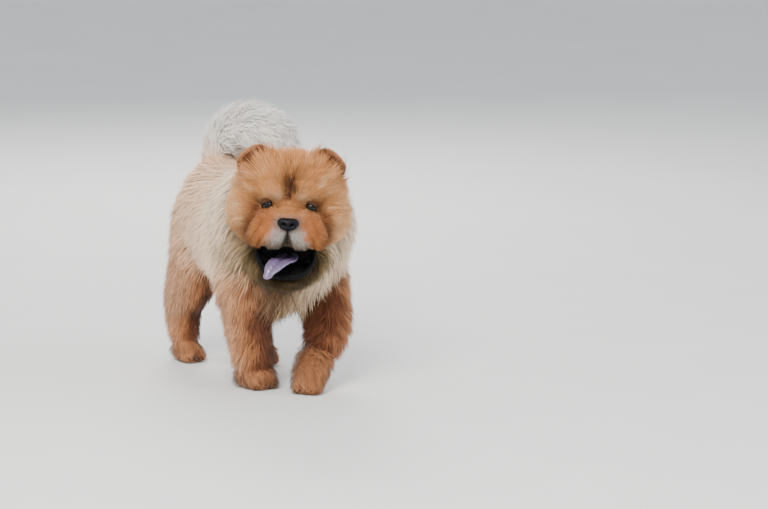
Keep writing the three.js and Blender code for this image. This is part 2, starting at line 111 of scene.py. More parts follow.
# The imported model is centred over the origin, so the dog's frame sits at an offset in it.
eye_low, eye_high = (np.array(corner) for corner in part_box("eye_left"))
DOG_AT = (eye_low + eye_high) / 2 / MM - on_head([EYE_SPREAD, EYE_DEPTH, EYE_HEIGHT])
DOG_AT[2] = 0.0


def unit(vectors):
    """Vectors of length one."""
    length = np.linalg.norm(vectors, axis=-1, keepdims=True)
    return vectors / np.maximum(length, 1e-9)


def smoothstep(low, high, value):
    """0 below low, 1 above high, and a smooth rise between them."""
    t = np.clip((value - low) / (high - low), 0, 1)
    return t * t * (3 - 2 * t)


def blend(a, b, amount):
    """From a to b by an amount for each place."""
    return a + (b - a) * np.asarray(amount)[..., None]


def band(value, low, full_low, full_high, high):
    """0 outside low and high, 1 between the two full values, and smooth in between."""
    return smoothstep(low, full_low, value) * smoothstep(high, full_high, value)


def spot(*parts):
    """1 at the middle of every part and less away from it: each part is a value, its middle and a width."""
    return np.exp(-sum(((value - middle) / width) ** 2 for value, middle, width in parts))


def painted(colour, *layers):
    """A colour with others laid over it, each by its own amount."""
    for other, amount in layers:
        colour = blend(colour, other, amount)
    return colour


def ring_faces(levels, sides):
    """Faces of a closed tube of rings, with one more point at each end."""
    faces = []
    for j in range(levels - 1):
        for i in range(sides):
            k = (i + 1) % sides
            faces.append((j * sides + i, j * sides + k, (j + 1) * sides + k, (j + 1) * sides + i))
    foot = levels * sides
    top = foot - sides
    for i in range(sides):
        k = (i + 1) % sides
        faces += [(foot, k, i), (foot + 1, top + i, top + k)]
    return faces


class Form:
    """A rounded tube: a row for each section, and a domed cap at each end.

    A row is x, y, z, half width, half depth and coat depth, and may add a shift of the coat.
    """

    def __init__(self, rows, up, caps, sides=32, rings=4, cap_rings=5, head=False):
        full = np.array([list(row) + [0.0] * (9 - len(row)) for row in rows], float)
        self.up = np.array(up, float)
        if head:
            full[:, :3] = on_head(full[:, :3])
            full[:, 6:9] = full[:, 6:9] @ HEAD_TURNED.T
            self.up = HEAD_TURNED @ self.up
        self.rows = full
        self.caps = caps
        self.sides = sides
        self.rings = rings
        self.cap_rings = cap_rings

    def row(self, t):
        """The row at t, blended smoothly between its neighbours."""
        last = len(self.rows) - 1
        t = np.clip(np.asarray(t, float), 0, last)
        i = np.minimum(np.floor(t).astype(int), max(last - 1, 0))
        f = (t - i)[..., None]
        a, b, c, d = (self.rows[np.clip(i + k, 0, last)] for k in (-1, 0, 1, 2))
        slope_in = (c - a) / 2
        slope_out = (d - b) / 2
        rise = c - b
        square = 3 * rise - 2 * slope_in - slope_out
        cube = slope_in + slope_out - 2 * rise
        return b + f * (slope_in + f * (square + f * cube))

    def centre(self, t, fill):
        row = self.row(t)
        return row[..., :3] + fill * row[..., 6:9]

    def ring(self, s, fill, grow=0.0):
        """Centre, directions and half sizes of the section at s, where 0 and 1 are the tips of the caps."""
        s = np.asarray(s, float)
        last = len(self.rows) - 1
        in_cap = np.minimum(np.minimum(s, 1 - s) / CAP_SHARE, 1)
        t = np.clip((s - CAP_SHARE) / (1 - 2 * CAP_SHARE), 0, 1) * last
        row = self.row(t)
        ahead = self.centre(np.minimum(t + 0.05, last), fill)
        along = unit(ahead - self.centre(np.maximum(t - 0.05, 0), fill))
        side = unit(np.cross(self.up, along))
        bend = in_cap * math.pi / 2
        end = np.where(s < 0.5, 0, 1)
        cap = np.array(self.caps)[end]
        reach = (cap + fill * row[..., 5] + grow) * np.cos(bend) * np.where(end, 1, -1)
        return {
            "centre": self.centre(t, fill) + along * reach[..., None],
            "along": along,
            "side": side,
            "rise": np.cross(along, side),
            "wide": (row[..., 3] + fill * row[..., 5] + grow) * np.sin(bend),
            "deep": (row[..., 4] + fill * row[..., 5] + grow) * np.sin(bend),
            "coat": row[..., 5],
            "shift": row[..., 6:9],
        }

    def surface(self, s, angle, fill, grow=0.0):
        ring = self.ring(s, fill, grow)
        angle = np.asarray(angle, float)[..., None]
        across = ring["side"] * ring["wide"][..., None] * np.cos(angle)
        return ring["centre"] + across + ring["rise"] * ring["deep"][..., None] * np.sin(angle)

    def mesh_arrays(self, fill, grow=0.0):
        """Vertices and faces of the closed form."""
        body = (len(self.rows) - 1) * self.rings
        start = CAP_SHARE * np.arange(1, self.cap_rings) / self.cap_rings
        middle = CAP_SHARE + (1 - 2 * CAP_SHARE) * np.arange(body + 1) / body
        levels = np.concatenate([start, middle, 1 - start[::-1]])
        angles = np.arange(self.sides) * 2 * math.pi / self.sides
        rings = self.surface(levels[:, None], angles[None, :], fill, grow).reshape(-1, 3)
        poles = self.surface(np.array([0.0, 1.0]), np.zeros(2), fill, grow)
        verts = np.vstack([rings, poles])
        return verts, ring_faces(len(levels), self.sides)

    def measure(self, points, fill):
        """How far places stand out from the form, with its coat, coat shift, direction and station there."""
        stations = np.linspace(0.02, 0.98, STATIONS)
        ring = self.ring(stations, fill)
        reach = max(ring["wide"].max(), ring["deep"].max()) + NEARBY
        close = (points > ring["centre"].min(0) - reach) & (points < ring["centre"].max(0) + reach)
        pick = np.nonzero(close.all(1))[0]
        offset = points[pick, None, :] - ring["centre"][None]
        ahead = np.abs(np.einsum("pkc,kc->pk", offset, ring["along"]))
        k = ahead.argmin(1)
        row = np.arange(len(pick))
        near = offset[row, k]
        a = np.einsum("pc,pc->p", near, ring["side"][k])
        b = np.einsum("pc,pc->p", near, ring["rise"][k])
        wide = np.maximum(ring["wide"][k], 1)
        deep = np.maximum(ring["deep"][k], 1)
        out = (np.hypot(a / wide, b / deep) - 1) * np.minimum(wide, deep)
        out = np.hypot(np.maximum(out, 0), ahead[row, k]) + np.minimum(out, 0)
        found = {
            "out": out,
            "coat": ring["coat"][k],
            "shift": ring["shift"][k],
            "along": ring["along"][k],
            "station": stations[k],
            "angle": np.arctan2(b / deep, a / wide),
        }
        everywhere = {}
        for key, values in found.items():
            everywhere[key] = np.zeros((len(points), *values.shape[1:]))
            everywhere[key][pick] = values
        beyond = np.ones(len(points), bool)
        beyond[pick] = False
        everywhere["out"][beyond] = FAR_AWAY
        return everywhere


UP = (0, 0, 1)
AHEAD = (0, -1, 0)
LEFT = (1, 0, 0)
SIDES = (("left", 1), ("right", -1))


def mirrored(rows):
    """Rows on the other side of the head."""
    return [[-value if k in (0, 6) else value for k, value in enumerate(row)] for row in rows]


# Forms of the body, from the same sizes as the solids.
FORMS = {}


def add_pair(name, rows, up, caps, sides=32):
    """A form on the head's left side, and its mirror image on the right."""
    FORMS[f"{name}_left"] = Form(rows, up, caps, sides=sides, head=True)
    FORMS[f"{name}_right"] = Form(mirrored(rows), up, caps, sides=sides, head=True)


FORMS["trunk"] = Form([
    (0, -196, 340, 70, 88, 60, 0, 0, -18),
    (0, -150, 346, 92, 116, 64, 0, 0, -20),
    (0, -85, 354, 100, 126, 58, 0, 0, -14),
    (0, 0, 360, 98, 116, 50, 0, 0, -8),
    (0, 85, 366, 92, 106, 46, 0, 0, -4),
    (0, 160, 376, 82, 100, 42),
    (0, 208, 378, 64, 86, 40),
], UP, (26, 28), sides=40)
FORMS["neck"] = Form([
    (6, -112, 384, 88, 100, 62, 0, 0, 0),
    (0, -166, 404, 88, 98, 86, 0, -6, -12),
    (-14, -222, 432, 80, 88, 86, 0, -6, -16),
    (-34, -268, 452, 72, 78, 70, 0, -4, -10),
], UP, (24, 20), sides=40)
FORMS["skull"] = Form([
    (0, -18, 36, 72, 56, 6),
    (0, 12, 30, 84, 76, 20),
    (0, 54, 24, 88, 78, 34),
    (0, 88, 18, 74, 64, 40),
], UP, (24, 24), sides=40, head=True)
add_pair("cheek", [
    (58, -12, -42, 26, 34, 12),
    (68, 12, -30, 38, 50, 24, 2, 4, -2),
    (74, 44, -18, 42, 58, 33, 4, 8, -4),
], UP, (18, 24))
FORMS["muzzle"] = Form([
    (0, -24, -40, 46, 34, 5),
    (0, -64, -44, 49, 36, 5),
    (0, -96, -46, 42, 32, 4),
], UP, (14, 16), head=True)
add_pair("flew", [
    (38, -34, -60, 22, 28, 5),
    (35, -62, -62, 24, 31, 5),
    (28, -88, -60, 24, 28, 4),
], UP, (16, 18), sides=24)
add_pair("brow", [
    (16, -40, 33, 13, 12, 4),
    (42, -40, 35, 14, 12, 5),
    (60, -34, 25, 8, 7, 3),
], AHEAD, (10, 10), sides=24)
add_pair("temple", [
    (52, -8, 30, 22, 28, 8),
    (70, 22, 36, 30, 34, 28),
    (74, 52, 32, 34, 36, 34),
], UP, (14, 20))
FORMS["crown"] = Form([
    (-46, 22, 74, 26, 34, 20),
    (0, 18, 80, 26, 36, 18),
    (46, 22, 74, 26, 34, 20),
], AHEAD, (20, 20), head=True)
add_pair("jowl", [
    (38, -58, -12, 17, 14, 6),
    (58, -50, -42, 21, 20, 9),
    (68, -40, -74, 21, 20, 10),
], AHEAD, (12, 14))
FORMS["chin"] = Form([
    (0, -42, -174, 34, 10, 10, 0, 0, -2),
    (0, -4, -156, 52, 28, 24, 0, 0, -4),
    (0, 40, -122, 62, 44, 46, 0, 0, -6),
], UP, (18, 24), head=True)


def ear_direction(sign):
    """The way up an ear, on the head."""
    return np.array([sign * math.sin(EAR_SPLAY), -0.1, math.cos(EAR_SPLAY)])


def ear_form(sign, sizes, caps, forward=0.0):
    """A form of rows up an ear: how far up it, half width, half thickness and coat."""
    foot = np.array([sign * EAR_SPREAD, EAR_BACK - forward, EAR_HEIGHT])
    rows = [(*(foot + ear_direction(sign) * up), wide, thick, coat) for up, wide, thick, coat in sizes]
    return Form(rows, AHEAD, caps, head=True)


EAR_HOLLOWS = []
for side_name, sign in SIDES:
    FORMS[f"ear_{side_name}"] = ear_form(sign, [(-20, 40, 13, 6), (10, 43, 13, 7), (34, 36, 11, 8)], (8, 14))
    FORMS[f"temple_ear_{side_name}"] = ear_form(sign, [(-18, 36, 13, 6), (-4, 33, 9, 5)], (8, 8), forward=10)
    EAR_HOLLOWS.append(ear_form(sign, [(20, 39, 12, 0), (33, 33, 10, 0)], (12, 12), forward=15))

FORMS["tail"] = Form([
    (4, 192, 462, 26, 26, 26),
    (8, 200, 506, 22, 22, 28),
    (20, 188, 542, 20, 20, 48),
    (38, 148, 566, 18, 18, 60),
    (58, 96, 570, 15, 15, 62),
    (74, 50, 556, 11, 11, 56),
], LEFT, (14, 20))

LEGS = {
    "foreleg_right": [
        (-66, -144, 304, 38, 58, 36),
        (-84, -138, 250, 40, 54, 38),
        (-80, -138, 190, 32, 40, 36, 0, 8, 0),
        (-73, -144, 120, 26, 30, 34, 0, 8, 0),
        (-68, -148, 70, 26, 28, 30, 0, 4, 0),
    ],
    "foreleg_left": [
        (78, -146, 304, 38, 58, 36),
        (102, -154, 254, 40, 54, 36),
        (106, -186, 200, 34, 42, 34, 0, 6, -4),
        (94, -222, 148, 29, 33, 32, 4, 6, -6),
        (70, -244, 108, 27, 29, 26, 4, 4, -6),
    ],
    "hindleg_right": [
        (-52, 172, 366, 38, 76, 32, 0, 14, 0),
        (-62, 162, 296, 40, 74, 34, 0, 18, 0),
        (-70, 182, 226, 33, 54, 36, 0, 18, -4),
        (-76, 230, 160, 25, 36, 32, 0, 8, -4),
        (-76, 244, 100, 22, 27, 26, 0, 4, 0),
        (-78, 238, 60, 22, 24, 20),
    ],
    "hindleg_left": [
        (56, 166, 366, 38, 76, 36, 0, 14, 0),
        (70, 138, 296, 40, 74, 38, 0, 18, 0),
        (74, 128, 226, 33, 54, 38, 0, 18, -4),
        (72, 150, 160, 25, 36, 32, 0, 8, -4),
        (70, 142, 100, 22, 27, 26, 0, 4, 0),
        (67, 122, 60, 22, 24, 20),
    ],
}
PAWS = {
    "forepaw_right": [(-66, -136, 32, 30, 30, 26), (-64, -162, 26, 34, 26, 16), (-62, -184, 22, 32, 20, 12)],
    "forepaw_left": [(50, -250, 78, 27, 28, 24), (24, -268, 45, 32, 28, 17), (10, -280, 18, 32, 24, 12)],
    "hindpaw_right": [(-80, 234, 30, 24, 26, 18), (-80, 208, 24, 28, 24, 10), (-80, 186, 20, 27, 18, 9)],
    "hindpaw_left": [(66, 114, 30, 26, 26, 18), (64, 88, 24, 30, 24, 12), (62, 66, 20, 29, 18, 10)],
}

TOES = (-1.5, -0.5, 0.5, 1.5)


def paw_front(paw_rows):
    """The front of a paw, and the ways ahead of it and across it."""
    back, front = (np.array(paw_rows[k][:3], float) for k in (0, -1))
    ahead = unit((front - back) * [1, 1, 0])
    return front, ahead, np.cross(ahead, [0, 0, 1])


def toe_rows(paw_rows, k):
    """Rows of one toe, set across the front of a paw at k."""
    front, ahead, side = paw_front(paw_rows)
    root = front + side * k * paw_rows[-1][3] * 0.5 + ahead * (2 - 3 * abs(k))
    return [(*(root - [0, 0, 1]), 10, 13, 6), (*(root + ahead * 13 + side * k * 2 - [0, 0, 7]), 9, 10, 5)]


for leg_name, leg_rows in LEGS.items():
    FORMS[leg_name] = Form(leg_rows, AHEAD, (30, 16))
for paw_name, paw_rows in PAWS.items():
    FORMS[paw_name] = Form(paw_rows, UP, (14, 12))
    for toe, k in enumerate(TOES):
        FORMS[f"{paw_name}_toe_{toe}"] = Form(toe_rows(paw_rows, k), UP, (9, 8), sides=16)

# Flesh that closes the throat behind the mouth.
FORMS["gullet"] = Form([(0, 24, -74, 60, 34, 0), (0, 62, -66, 60, 44, 0)], UP, (10, 20), head=True)

# Shapes cut out of the head's skin, and the bare parts in and round the mouth.
MOUTH = Form([
    (0, -96, -122, 40, 24, 0),
    (0, -40, -118, 54, 24, 0),
    (0, 4, -112, 54, 20, 0),
], UP, (30, 10), head=True)
LOWER_LIP = [
    (64, 4, -106, 8, 8, 0),
    (61, -28, -132, 6.5, 7.5, 0),
    (40, -56, -153, 6.5, 7.5, 0),
    (0, -69, -159, 6.5, 7.5, 0),
]
JAW_FORMS = [
    Form([*LOWER_LIP, *mirrored(LOWER_LIP[:3])[::-1]], UP, (14, 14), sides=24, head=True),
    Form([(0, -48, -152, 48, 10, 0), (0, -4, -140, 66, 14, 0)], UP, (20, 16), head=True),
    Form([(0, 2, -116, 66, 30, 0), (0, 18, -114, 64, 28, 0)], UP, (8, 8), head=True),
]
NOSE = Form([(-10, -110, -26, 15, 14, 0), (10, -110, -26, 15, 14, 0)], UP, (15, 15), sides=40, head=True)
TONGUE = Form([
    (6, 0, -118, 22, 7, 0),
    (0, -40, -122, 26, 7, 0),
    (-15, -78, -122, 26, 6, 0),
    (-30, -100, -135, 22, 5.5, 0),
    (-39, -108, -150, 14, 5, 0),
], UP, (14, 10), sides=40, rings=6, head=True)

FACE_FORMS = ("muzzle", "flew_left", "flew_right", "brow_left", "brow_right")
# Names that begin so belong to the head's longer coat.
HEAD_FORMS = ("skull", "cheek", "brow", "jowl", "temple", "crown")


def skin_fill(name):
    """How much of a form's coat depth lies under the skin."""
    return FACE_FILL if name in FACE_FORMS or name.startswith("ear") else SKIN_FILL


# Mesh helpers.
def to_frame(points):
    """Millimetres in the dog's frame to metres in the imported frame."""
    return (np.asarray(points, float) + DOG_AT) * MM


def add_object(name, data):
    piece = bpy.data.objects.new(name, data)
    bpy.context.scene.collection.objects.link(piece)
    return piece


def new_object(name, verts, faces, smooth=True):
    mesh = bpy.data.meshes.new(name)
    mesh.from_pydata([tuple(v) for v in verts], [], [tuple(int(i) for i in f) for f in faces])
    mesh.update()
    if smooth:
        mesh.shade_smooth()
    return add_object(name, mesh)


def joined_object(name, parts):
    """One object from the vertices and faces of several parts, in millimetres."""
    verts = []
    faces = []
    for own, own_faces in parts:
        first = sum(map(len, verts))
        faces += [tuple(i + first for i in face) for face in own_faces]
        verts.append(own)
    return new_object(name, to_frame(np.vstack(verts)), faces)


def apply_modifier(piece, kind, **settings):
    modifier = piece.modifiers.new(kind.title(), kind)
    for key, value in settings.items():
        setattr(modifier, key, value)
    bpy.context.view_layer.update()
    evaluated = piece.evaluated_get(bpy.context.evaluated_depsgraph_get())
    mesh = bpy.data.meshes.new_from_object(evaluated)
    old = piece.data
    piece.modifiers.clear()
    piece.data = mesh
    bpy.data.meshes.remove(old)
    mesh.shade_smooth()
    return piece


def remesh(piece, size):
    """One even surface instead of all that a piece is made of."""
    return apply_modifier(piece, "REMESH", mode="VOXEL", voxel_size=size * MM)


def bare_object(name, forms, voxel):
    """One surface round closed forms, which may overlap."""
    return remesh(joined_object(name, [form.mesh_arrays(0.0) for form in forms]), voxel)


def carve(piece, name, forms):
    """Cuts closed forms out of a piece."""
    tool = joined_object(name, [form.mesh_arrays(0.0) for form in forms])
    apply_modifier(piece, "BOOLEAN", operation="DIFFERENCE", object=tool, solver="FAST")
    bpy.data.objects.remove(tool)


def coordinates(mesh):
    out = np.empty(len(mesh.vertices) * 3)
    mesh.vertices.foreach_get("co", out)
    return out.reshape(-1, 3)


def set_coordinates(mesh, points):
    mesh.vertices.foreach_set("co", np.asarray(points, float).ravel())
    mesh.update()


def places_on(mesh):
    """Vertices in millimetres in the dog's frame."""
    return coordinates(mesh) / MM - DOG_AT


def push_out(mesh, points, normals, depth):
    """Sets vertices to places, each moved along its normal by a depth in millimetres."""
    set_coordinates(mesh, to_frame(points + normals * depth[:, None]))


def vertex_normals(mesh):
    out = np.empty(len(mesh.vertices) * 3)
    mesh.vertices.foreach_get("normal", out)
    return out.reshape(-1, 3)


def add_attribute(mesh, name, kind, values):
    attribute = mesh.attributes.new(name, kind, "POINT")
    if kind == "FLOAT_COLOR":
        values = np.hstack([values, np.ones((len(values), 1))])
        attribute.data.foreach_set("color", values.ravel())
    else:
        attribute.data.foreach_set("value", np.asarray(values, float).ravel())


# Smooth repeatable noise from a few waves.
def waves(points, size, seed, octaves=2):
    """Noise of about -1 to 1 at places in millimetres, with features of that size."""
    rng = np.random.default_rng(seed)
    total = np.zeros(len(points))
    for octave in range(octaves):
        for _ in range(4):
            direction = unit(rng.normal(size=3)) * 2 * math.pi / (size / 2**octave)
            total += np.sin(points @ direction + rng.uniform(0, 2 * math.pi)) / 2**octave
    return total / (2.2 * math.sqrt(2))


# Skin: the forms joined, smoothed into one surface, then carved and folded.
def make_skin():
    skin = joined_object("skin", [form.mesh_arrays(skin_fill(name)) for name, form in FORMS.items()])
    remesh(skin, VOXEL)
    apply_modifier(skin, "SMOOTH", factor=0.5, iterations=6)
    carve(skin, "mouth_and_ear_cuts", [MOUTH, *EAR_HOLLOWS])
    remesh(skin, VOXEL)
    near_face = from_head(places_on(skin.data))
    face = smoothstep(50, -10, near_face[:, 1]) * smoothstep(150, 110, np.linalg.norm(near_face, axis=1))
    relax(skin.data, 1 - 0.55 * face, rounds=8)
    fold_face(skin.data)
    points = coordinates(skin.data)
    points[:, 2] = np.maximum(points[:, 2], SKIN_LIFT * MM)
    set_coordinates(skin.data, points)
    return skin


def relax(mesh, amount, rounds):
    """Smooths a mesh by an amount for each vertex."""
    edges = np.empty(len(mesh.edges) * 2, int)
    mesh.edges.foreach_get("vertices", edges)
    a, b = edges.reshape(-1, 2).T
    points = coordinates(mesh)
    count = np.bincount(a, minlength=len(points)) + np.bincount(b, minlength=len(points))
    for _ in range(rounds):
        mean = np.zeros_like(points)
        np.add.at(mean, a, points[b])
        np.add.at(mean, b, points[a])
        mean /= np.maximum(count, 1)[:, None]
        points += (mean - points) * 0.6 * amount[:, None]
    set_coordinates(mesh, points)


def jowl_folds(side, z):
    """-1 to 1 across the slanting folds beside the muzzle."""
    return np.cos((side * 0.83 + z * 0.3) * 2 * math.pi / JOWL_FOLD + 0.03 * z)


def fold_face(mesh):
    """Wrinkles between and over the eyes, the stop, and hollows round the eyes."""
    points = places_on(mesh)
    normals = vertex_normals(mesh)
    x, y, z = from_head(points).T
    side = np.abs(x)
    front = smoothstep(20, -20, y) * smoothstep(-1.0, 0.2, -(normals @ HEAD_TURNED)[:, 1])
    crease = spot((side, 7, 4.5)) * band(z, 12, 26, 60, 100)
    middle = spot((x, 0, 4)) * band(z, -5, 12, 30, 70)
    socket = spot((side, EYE_SPREAD, 17), (z, EYE_HEIGHT, 10))
    pouch = spot((side, EYE_SPREAD, 22), (z, -16, 5))
    jowl = band(side, 34, 48, 84, 100) * band(z, -104, -90, -20, -4) * jowl_folds(side, z)
    push_out(mesh, points, normals, front * (-5 * crease + 3 * middle - 6 * socket + 3 * pouch + 2.2 * jowl))


# What the coat does at each place of the skin.
FACE_COLOUR = np.array([0.52, 0.22, 0.078])
TAN_COLOUR = np.array([0.70, 0.40, 0.20])
# Dark brown of the face's mask and flame; also painted shade round the eyes, in the muzzle's creases and
# jowl folds, and on the lids.
MASK_AND_SHADE_COLOUR = np.array([0.27, 0.10, 0.045])
JOWL_COLOUR = np.array([0.45, 0.155, 0.05])
LIP_SHADE = np.array([0.012, 0.008, 0.008])
LID_EDGE = np.array([0.008, 0.005, 0.004])
BROW_COLOUR = np.array([0.66, 0.42, 0.24])
MUZZLE_COLOUR = np.array([0.33, 0.29, 0.265])
CHIN_COLOUR = np.array([0.10, 0.065, 0.03])
EAR_COLOUR = np.array([0.46, 0.20, 0.09])
EAR_INSIDE = np.array([0.12, 0.045, 0.025])
CREAM_COLOUR = np.array([0.94, 0.68, 0.47])
RUMP_COLOUR = np.array([0.78, 0.47, 0.28])
RED_COLOUR = np.array([0.48, 0.20, 0.085])
# Dark red-brown of the legs' own streaks; also painted shade on the legs' inner sides and between the
# forelegs.
DARK_RED = np.array([0.15, 0.05, 0.022])
# Dark olive of the chin and the foot of the flews; also the painted shadow on the chest under the head.
THROAT_COLOUR = np.array([0.34, 0.23, 0.10])
TAIL_COLOUR = np.array([0.95, 0.87, 0.80])
TAIL_BASE = np.array([0.78, 0.55, 0.42])


class Coat:
    """Everything that the coat needs to know at given places of the skin."""

    def __init__(self, points, normals):
        self.points = points
        self.normals = normals
        self.head = from_head(points)
        self.names = list(FORMS)
        self.measured = {name: form.measure(points, skin_fill(name)) for name, form in FORMS.items()}
        out = self.of_each("out")
        weight = spot((out, out.min(1, keepdims=True), FORM_BLEND))
        self.weight = weight / weight.sum(1, keepdims=True)
        hair = 1 - np.array([skin_fill(name) for name in self.names])
        self.depth = (self.of_each("coat") * hair * self.weight).sum(1)
        self.shift = (self.of_each("shift") * hair[:, None] * self.weight[..., None]).sum(1)
        self.length = self.hair_length()
        self.lie = self.lay()
        self.colour = self.markings_and_shade()

    def of_each(self, key):
        return np.stack([self.measured[name][key] for name in self.names], 1)

    def share(self, *starts):
        """How much a place belongs to the forms whose names start so."""
        return self.weight[:, [name.startswith(starts) for name in self.names]].sum(1)

    def mixed(self, parts):
        """What the forms' own values come to at each place."""
        return sum(self.share(*starts)[:, None] * part for starts, part in parts)

    def hair_length(self):
        """Length of the hair on the head: short on the muzzle, longer away from it."""
        away = np.linalg.norm(self.head - [0, -100, -40], axis=1)
        return np.interp(away, [30, 60, 85, 110, 150, 200], [6, 9, 14, 23, 38, 50])

    def lay(self):
        """The way the hair lies."""
        from_nose = unit(self.points - on_head([0, -100, NOSE_HEIGHT]))
        ear = HEAD_TURNED @ np.array([0, 0.15, 1.0])
        ear = ear + np.sign(self.head[:, :1]) * (HEAD_TURNED @ np.array([0.5, 0, 0]))
        ways = [
            (("trunk",), [[0.0, 0.8, -0.6]]),
            (("neck",), [[0.0, 0.7, -0.7]]),
            (("foreleg", "hindleg"), [[0.0, 0.4, -1.0]]),
            (("forepaw", "hindpaw"), [[0.0, -0.7, -0.55]]),
            ((*HEAD_FORMS, "muzzle", "flew"), from_nose + [0, 0, -0.2]),
            (("chin",), [[0.0, 0.15, -1.0]]),
            (("ear",), ear),
            (("tail",), self.measured["tail"]["along"]),
        ]
        total = self.mixed([(starts, unit(np.array(way))) for starts, way in ways])
        swirl = np.stack([waves(self.points, 90, RNG_SEED + k) for k in range(3)], 1)
        total = unit(total) + 0.16 * swirl
        total -= self.normals * (total * self.normals).sum(1, keepdims=True)
        return unit(total)

    def markings_and_shade(self):
        """The colour of the coat: its markings, with painted shade under the head, round the eyes, in the
        muzzle's creases and folds and on the legs' inner sides, and painted light on the legs' outer sides.
        """
        x, y, z = self.head.T
        wx, wy, wz = self.points.T
        side = np.abs(x)
        blur = waves(self.points, 60, RNG_SEED + 7, octaves=3)
        fine = waves(self.points, 22, RNG_SEED + 8, octaves=2)
        # Painted shadow of the head on the chest, darker still between the forelegs.
        chest_shadow = smoothstep(-150, -205, wy + 24 * blur) * smoothstep(450, 370, wz + 20 * fine)
        chest_shadow *= smoothstep(120, 40, np.abs(wx + 58) + 30 * fine)
        middle = chest_shadow * smoothstep(62, 18, np.abs(wx + 60) + 16 * fine) * smoothstep(430, 350, wz)
        chest_shadow_layers = [(THROAT_COLOUR, 0.85 * chest_shadow), (DARK_RED * 0.6, 0.85 * middle)]
        trunk = painted(
            CREAM_COLOUR,
            (RUMP_COLOUR, 0.55 * smoothstep(-90, 10, wy + 20 * blur)),
            (RUMP_COLOUR, smoothstep(60, 200, wy + 30 * blur)),
            (RUMP_COLOUR, 0.5 * smoothstep(460, 520, wz + 20 * blur)),
            *chest_shadow_layers)
        flame = spot((x, 0, 24 + 16 * fine)) * smoothstep(12, 26, z + 4 * fine)
        jowl = band(side, 30, 46, 78, 96) * band(z, -110, -92, -14, 0)
        mask = spot((side, 40, 26), (z, -22, 22)) * smoothstep(10, -30, y)
        # Painted shade in the crease round the outer edge of the muzzle.
        muzzle_crease_line = 62 + 26 * np.sin(np.clip((2 - z) / 90, 0, 1) * 2.6)
        muzzle_crease_shade = spot((side, muzzle_crease_line, 8)) * band(z, -98, -60, -4, 8)
        # Painted shade in the hollows round the eyes.
        socket = spot((side, EYE_SPREAD, 25), (z, EYE_HEIGHT, 15)) * smoothstep(10, -20, y)
        over_eye = spot((side, 27, 10), (z, 25 + 6 * fine, 9)) * smoothstep(10, -20, y)
        cheek_low = smoothstep(-50, -100, z + 10 * blur) * smoothstep(50, 90, side)
        face = painted(
            FACE_COLOUR,
            (TAN_COLOUR, 0.7 * smoothstep(70, 125, side + 18 * blur)),
            (TAN_COLOUR, 0.55 * smoothstep(0.15, 0.8, fine + 0.5 * blur) * smoothstep(20, 34, side)),
            (CREAM_COLOUR, 0.75 * smoothstep(36, 92, y + 16 * blur)),
            (MASK_AND_SHADE_COLOUR * 0.12, 0.95 * flame * smoothstep(98, 58, z + 16 * fine)),
            (JOWL_COLOUR, 0.7 * jowl),
            # Painted shade in the troughs of the jowl folds.
            (MASK_AND_SHADE_COLOUR * 0.7, 0.4 * jowl * smoothstep(-0.2, -0.9, jowl_folds(side, z))),
            (MASK_AND_SHADE_COLOUR, 0.55 * mask),
            (MASK_AND_SHADE_COLOUR * 0.5, 0.85 * muzzle_crease_shade),
            (MASK_AND_SHADE_COLOUR * 0.3, 0.95 * socket),
            (BROW_COLOUR, 0.7 * over_eye),
            (CHIN_COLOUR * 1.6, 0.5 * cheek_low))
        speck = waves(self.points, 9, RNG_SEED + 10)
        half = 27 + 0.42 * np.clip(-30 - z, 0, 70) + 5 * fine + 4 * speck
        low_front = smoothstep(-46, -74, y) * smoothstep(-4, -24, z + 5 * speck)
        grey = blend(JOWL_COLOUR, MUZZLE_COLOUR, smoothstep(14, -12, side - half) * low_front)
        bridge = smoothstep(30, 14, side) * smoothstep(-30, -14, z)
        cleft = smoothstep(4, -4, side - 3 - 0.3 * np.clip(-40 - z, 0, 60))
        rim = spot((np.hypot(x / 27, (z - NOSE_HEIGHT) / 17), 1, 0.25)) * smoothstep(-84, -96, y)
        muzzle = painted(
            grey * (1 + 0.22 * waves(self.points, 8, RNG_SEED + 9))[:, None],
            (FACE_COLOUR * 0.8, bridge * smoothstep(-98, -78, y + 6 * fine)),
            (LIP_SHADE, 0.95 * cleft * smoothstep(-34, -42, z)),
            (THROAT_COLOUR * 0.3, 0.7 * smoothstep(-58, -86, z + 9 * speck)),
            (MASK_AND_SHADE_COLOUR * 0.3, 0.6 * rim))
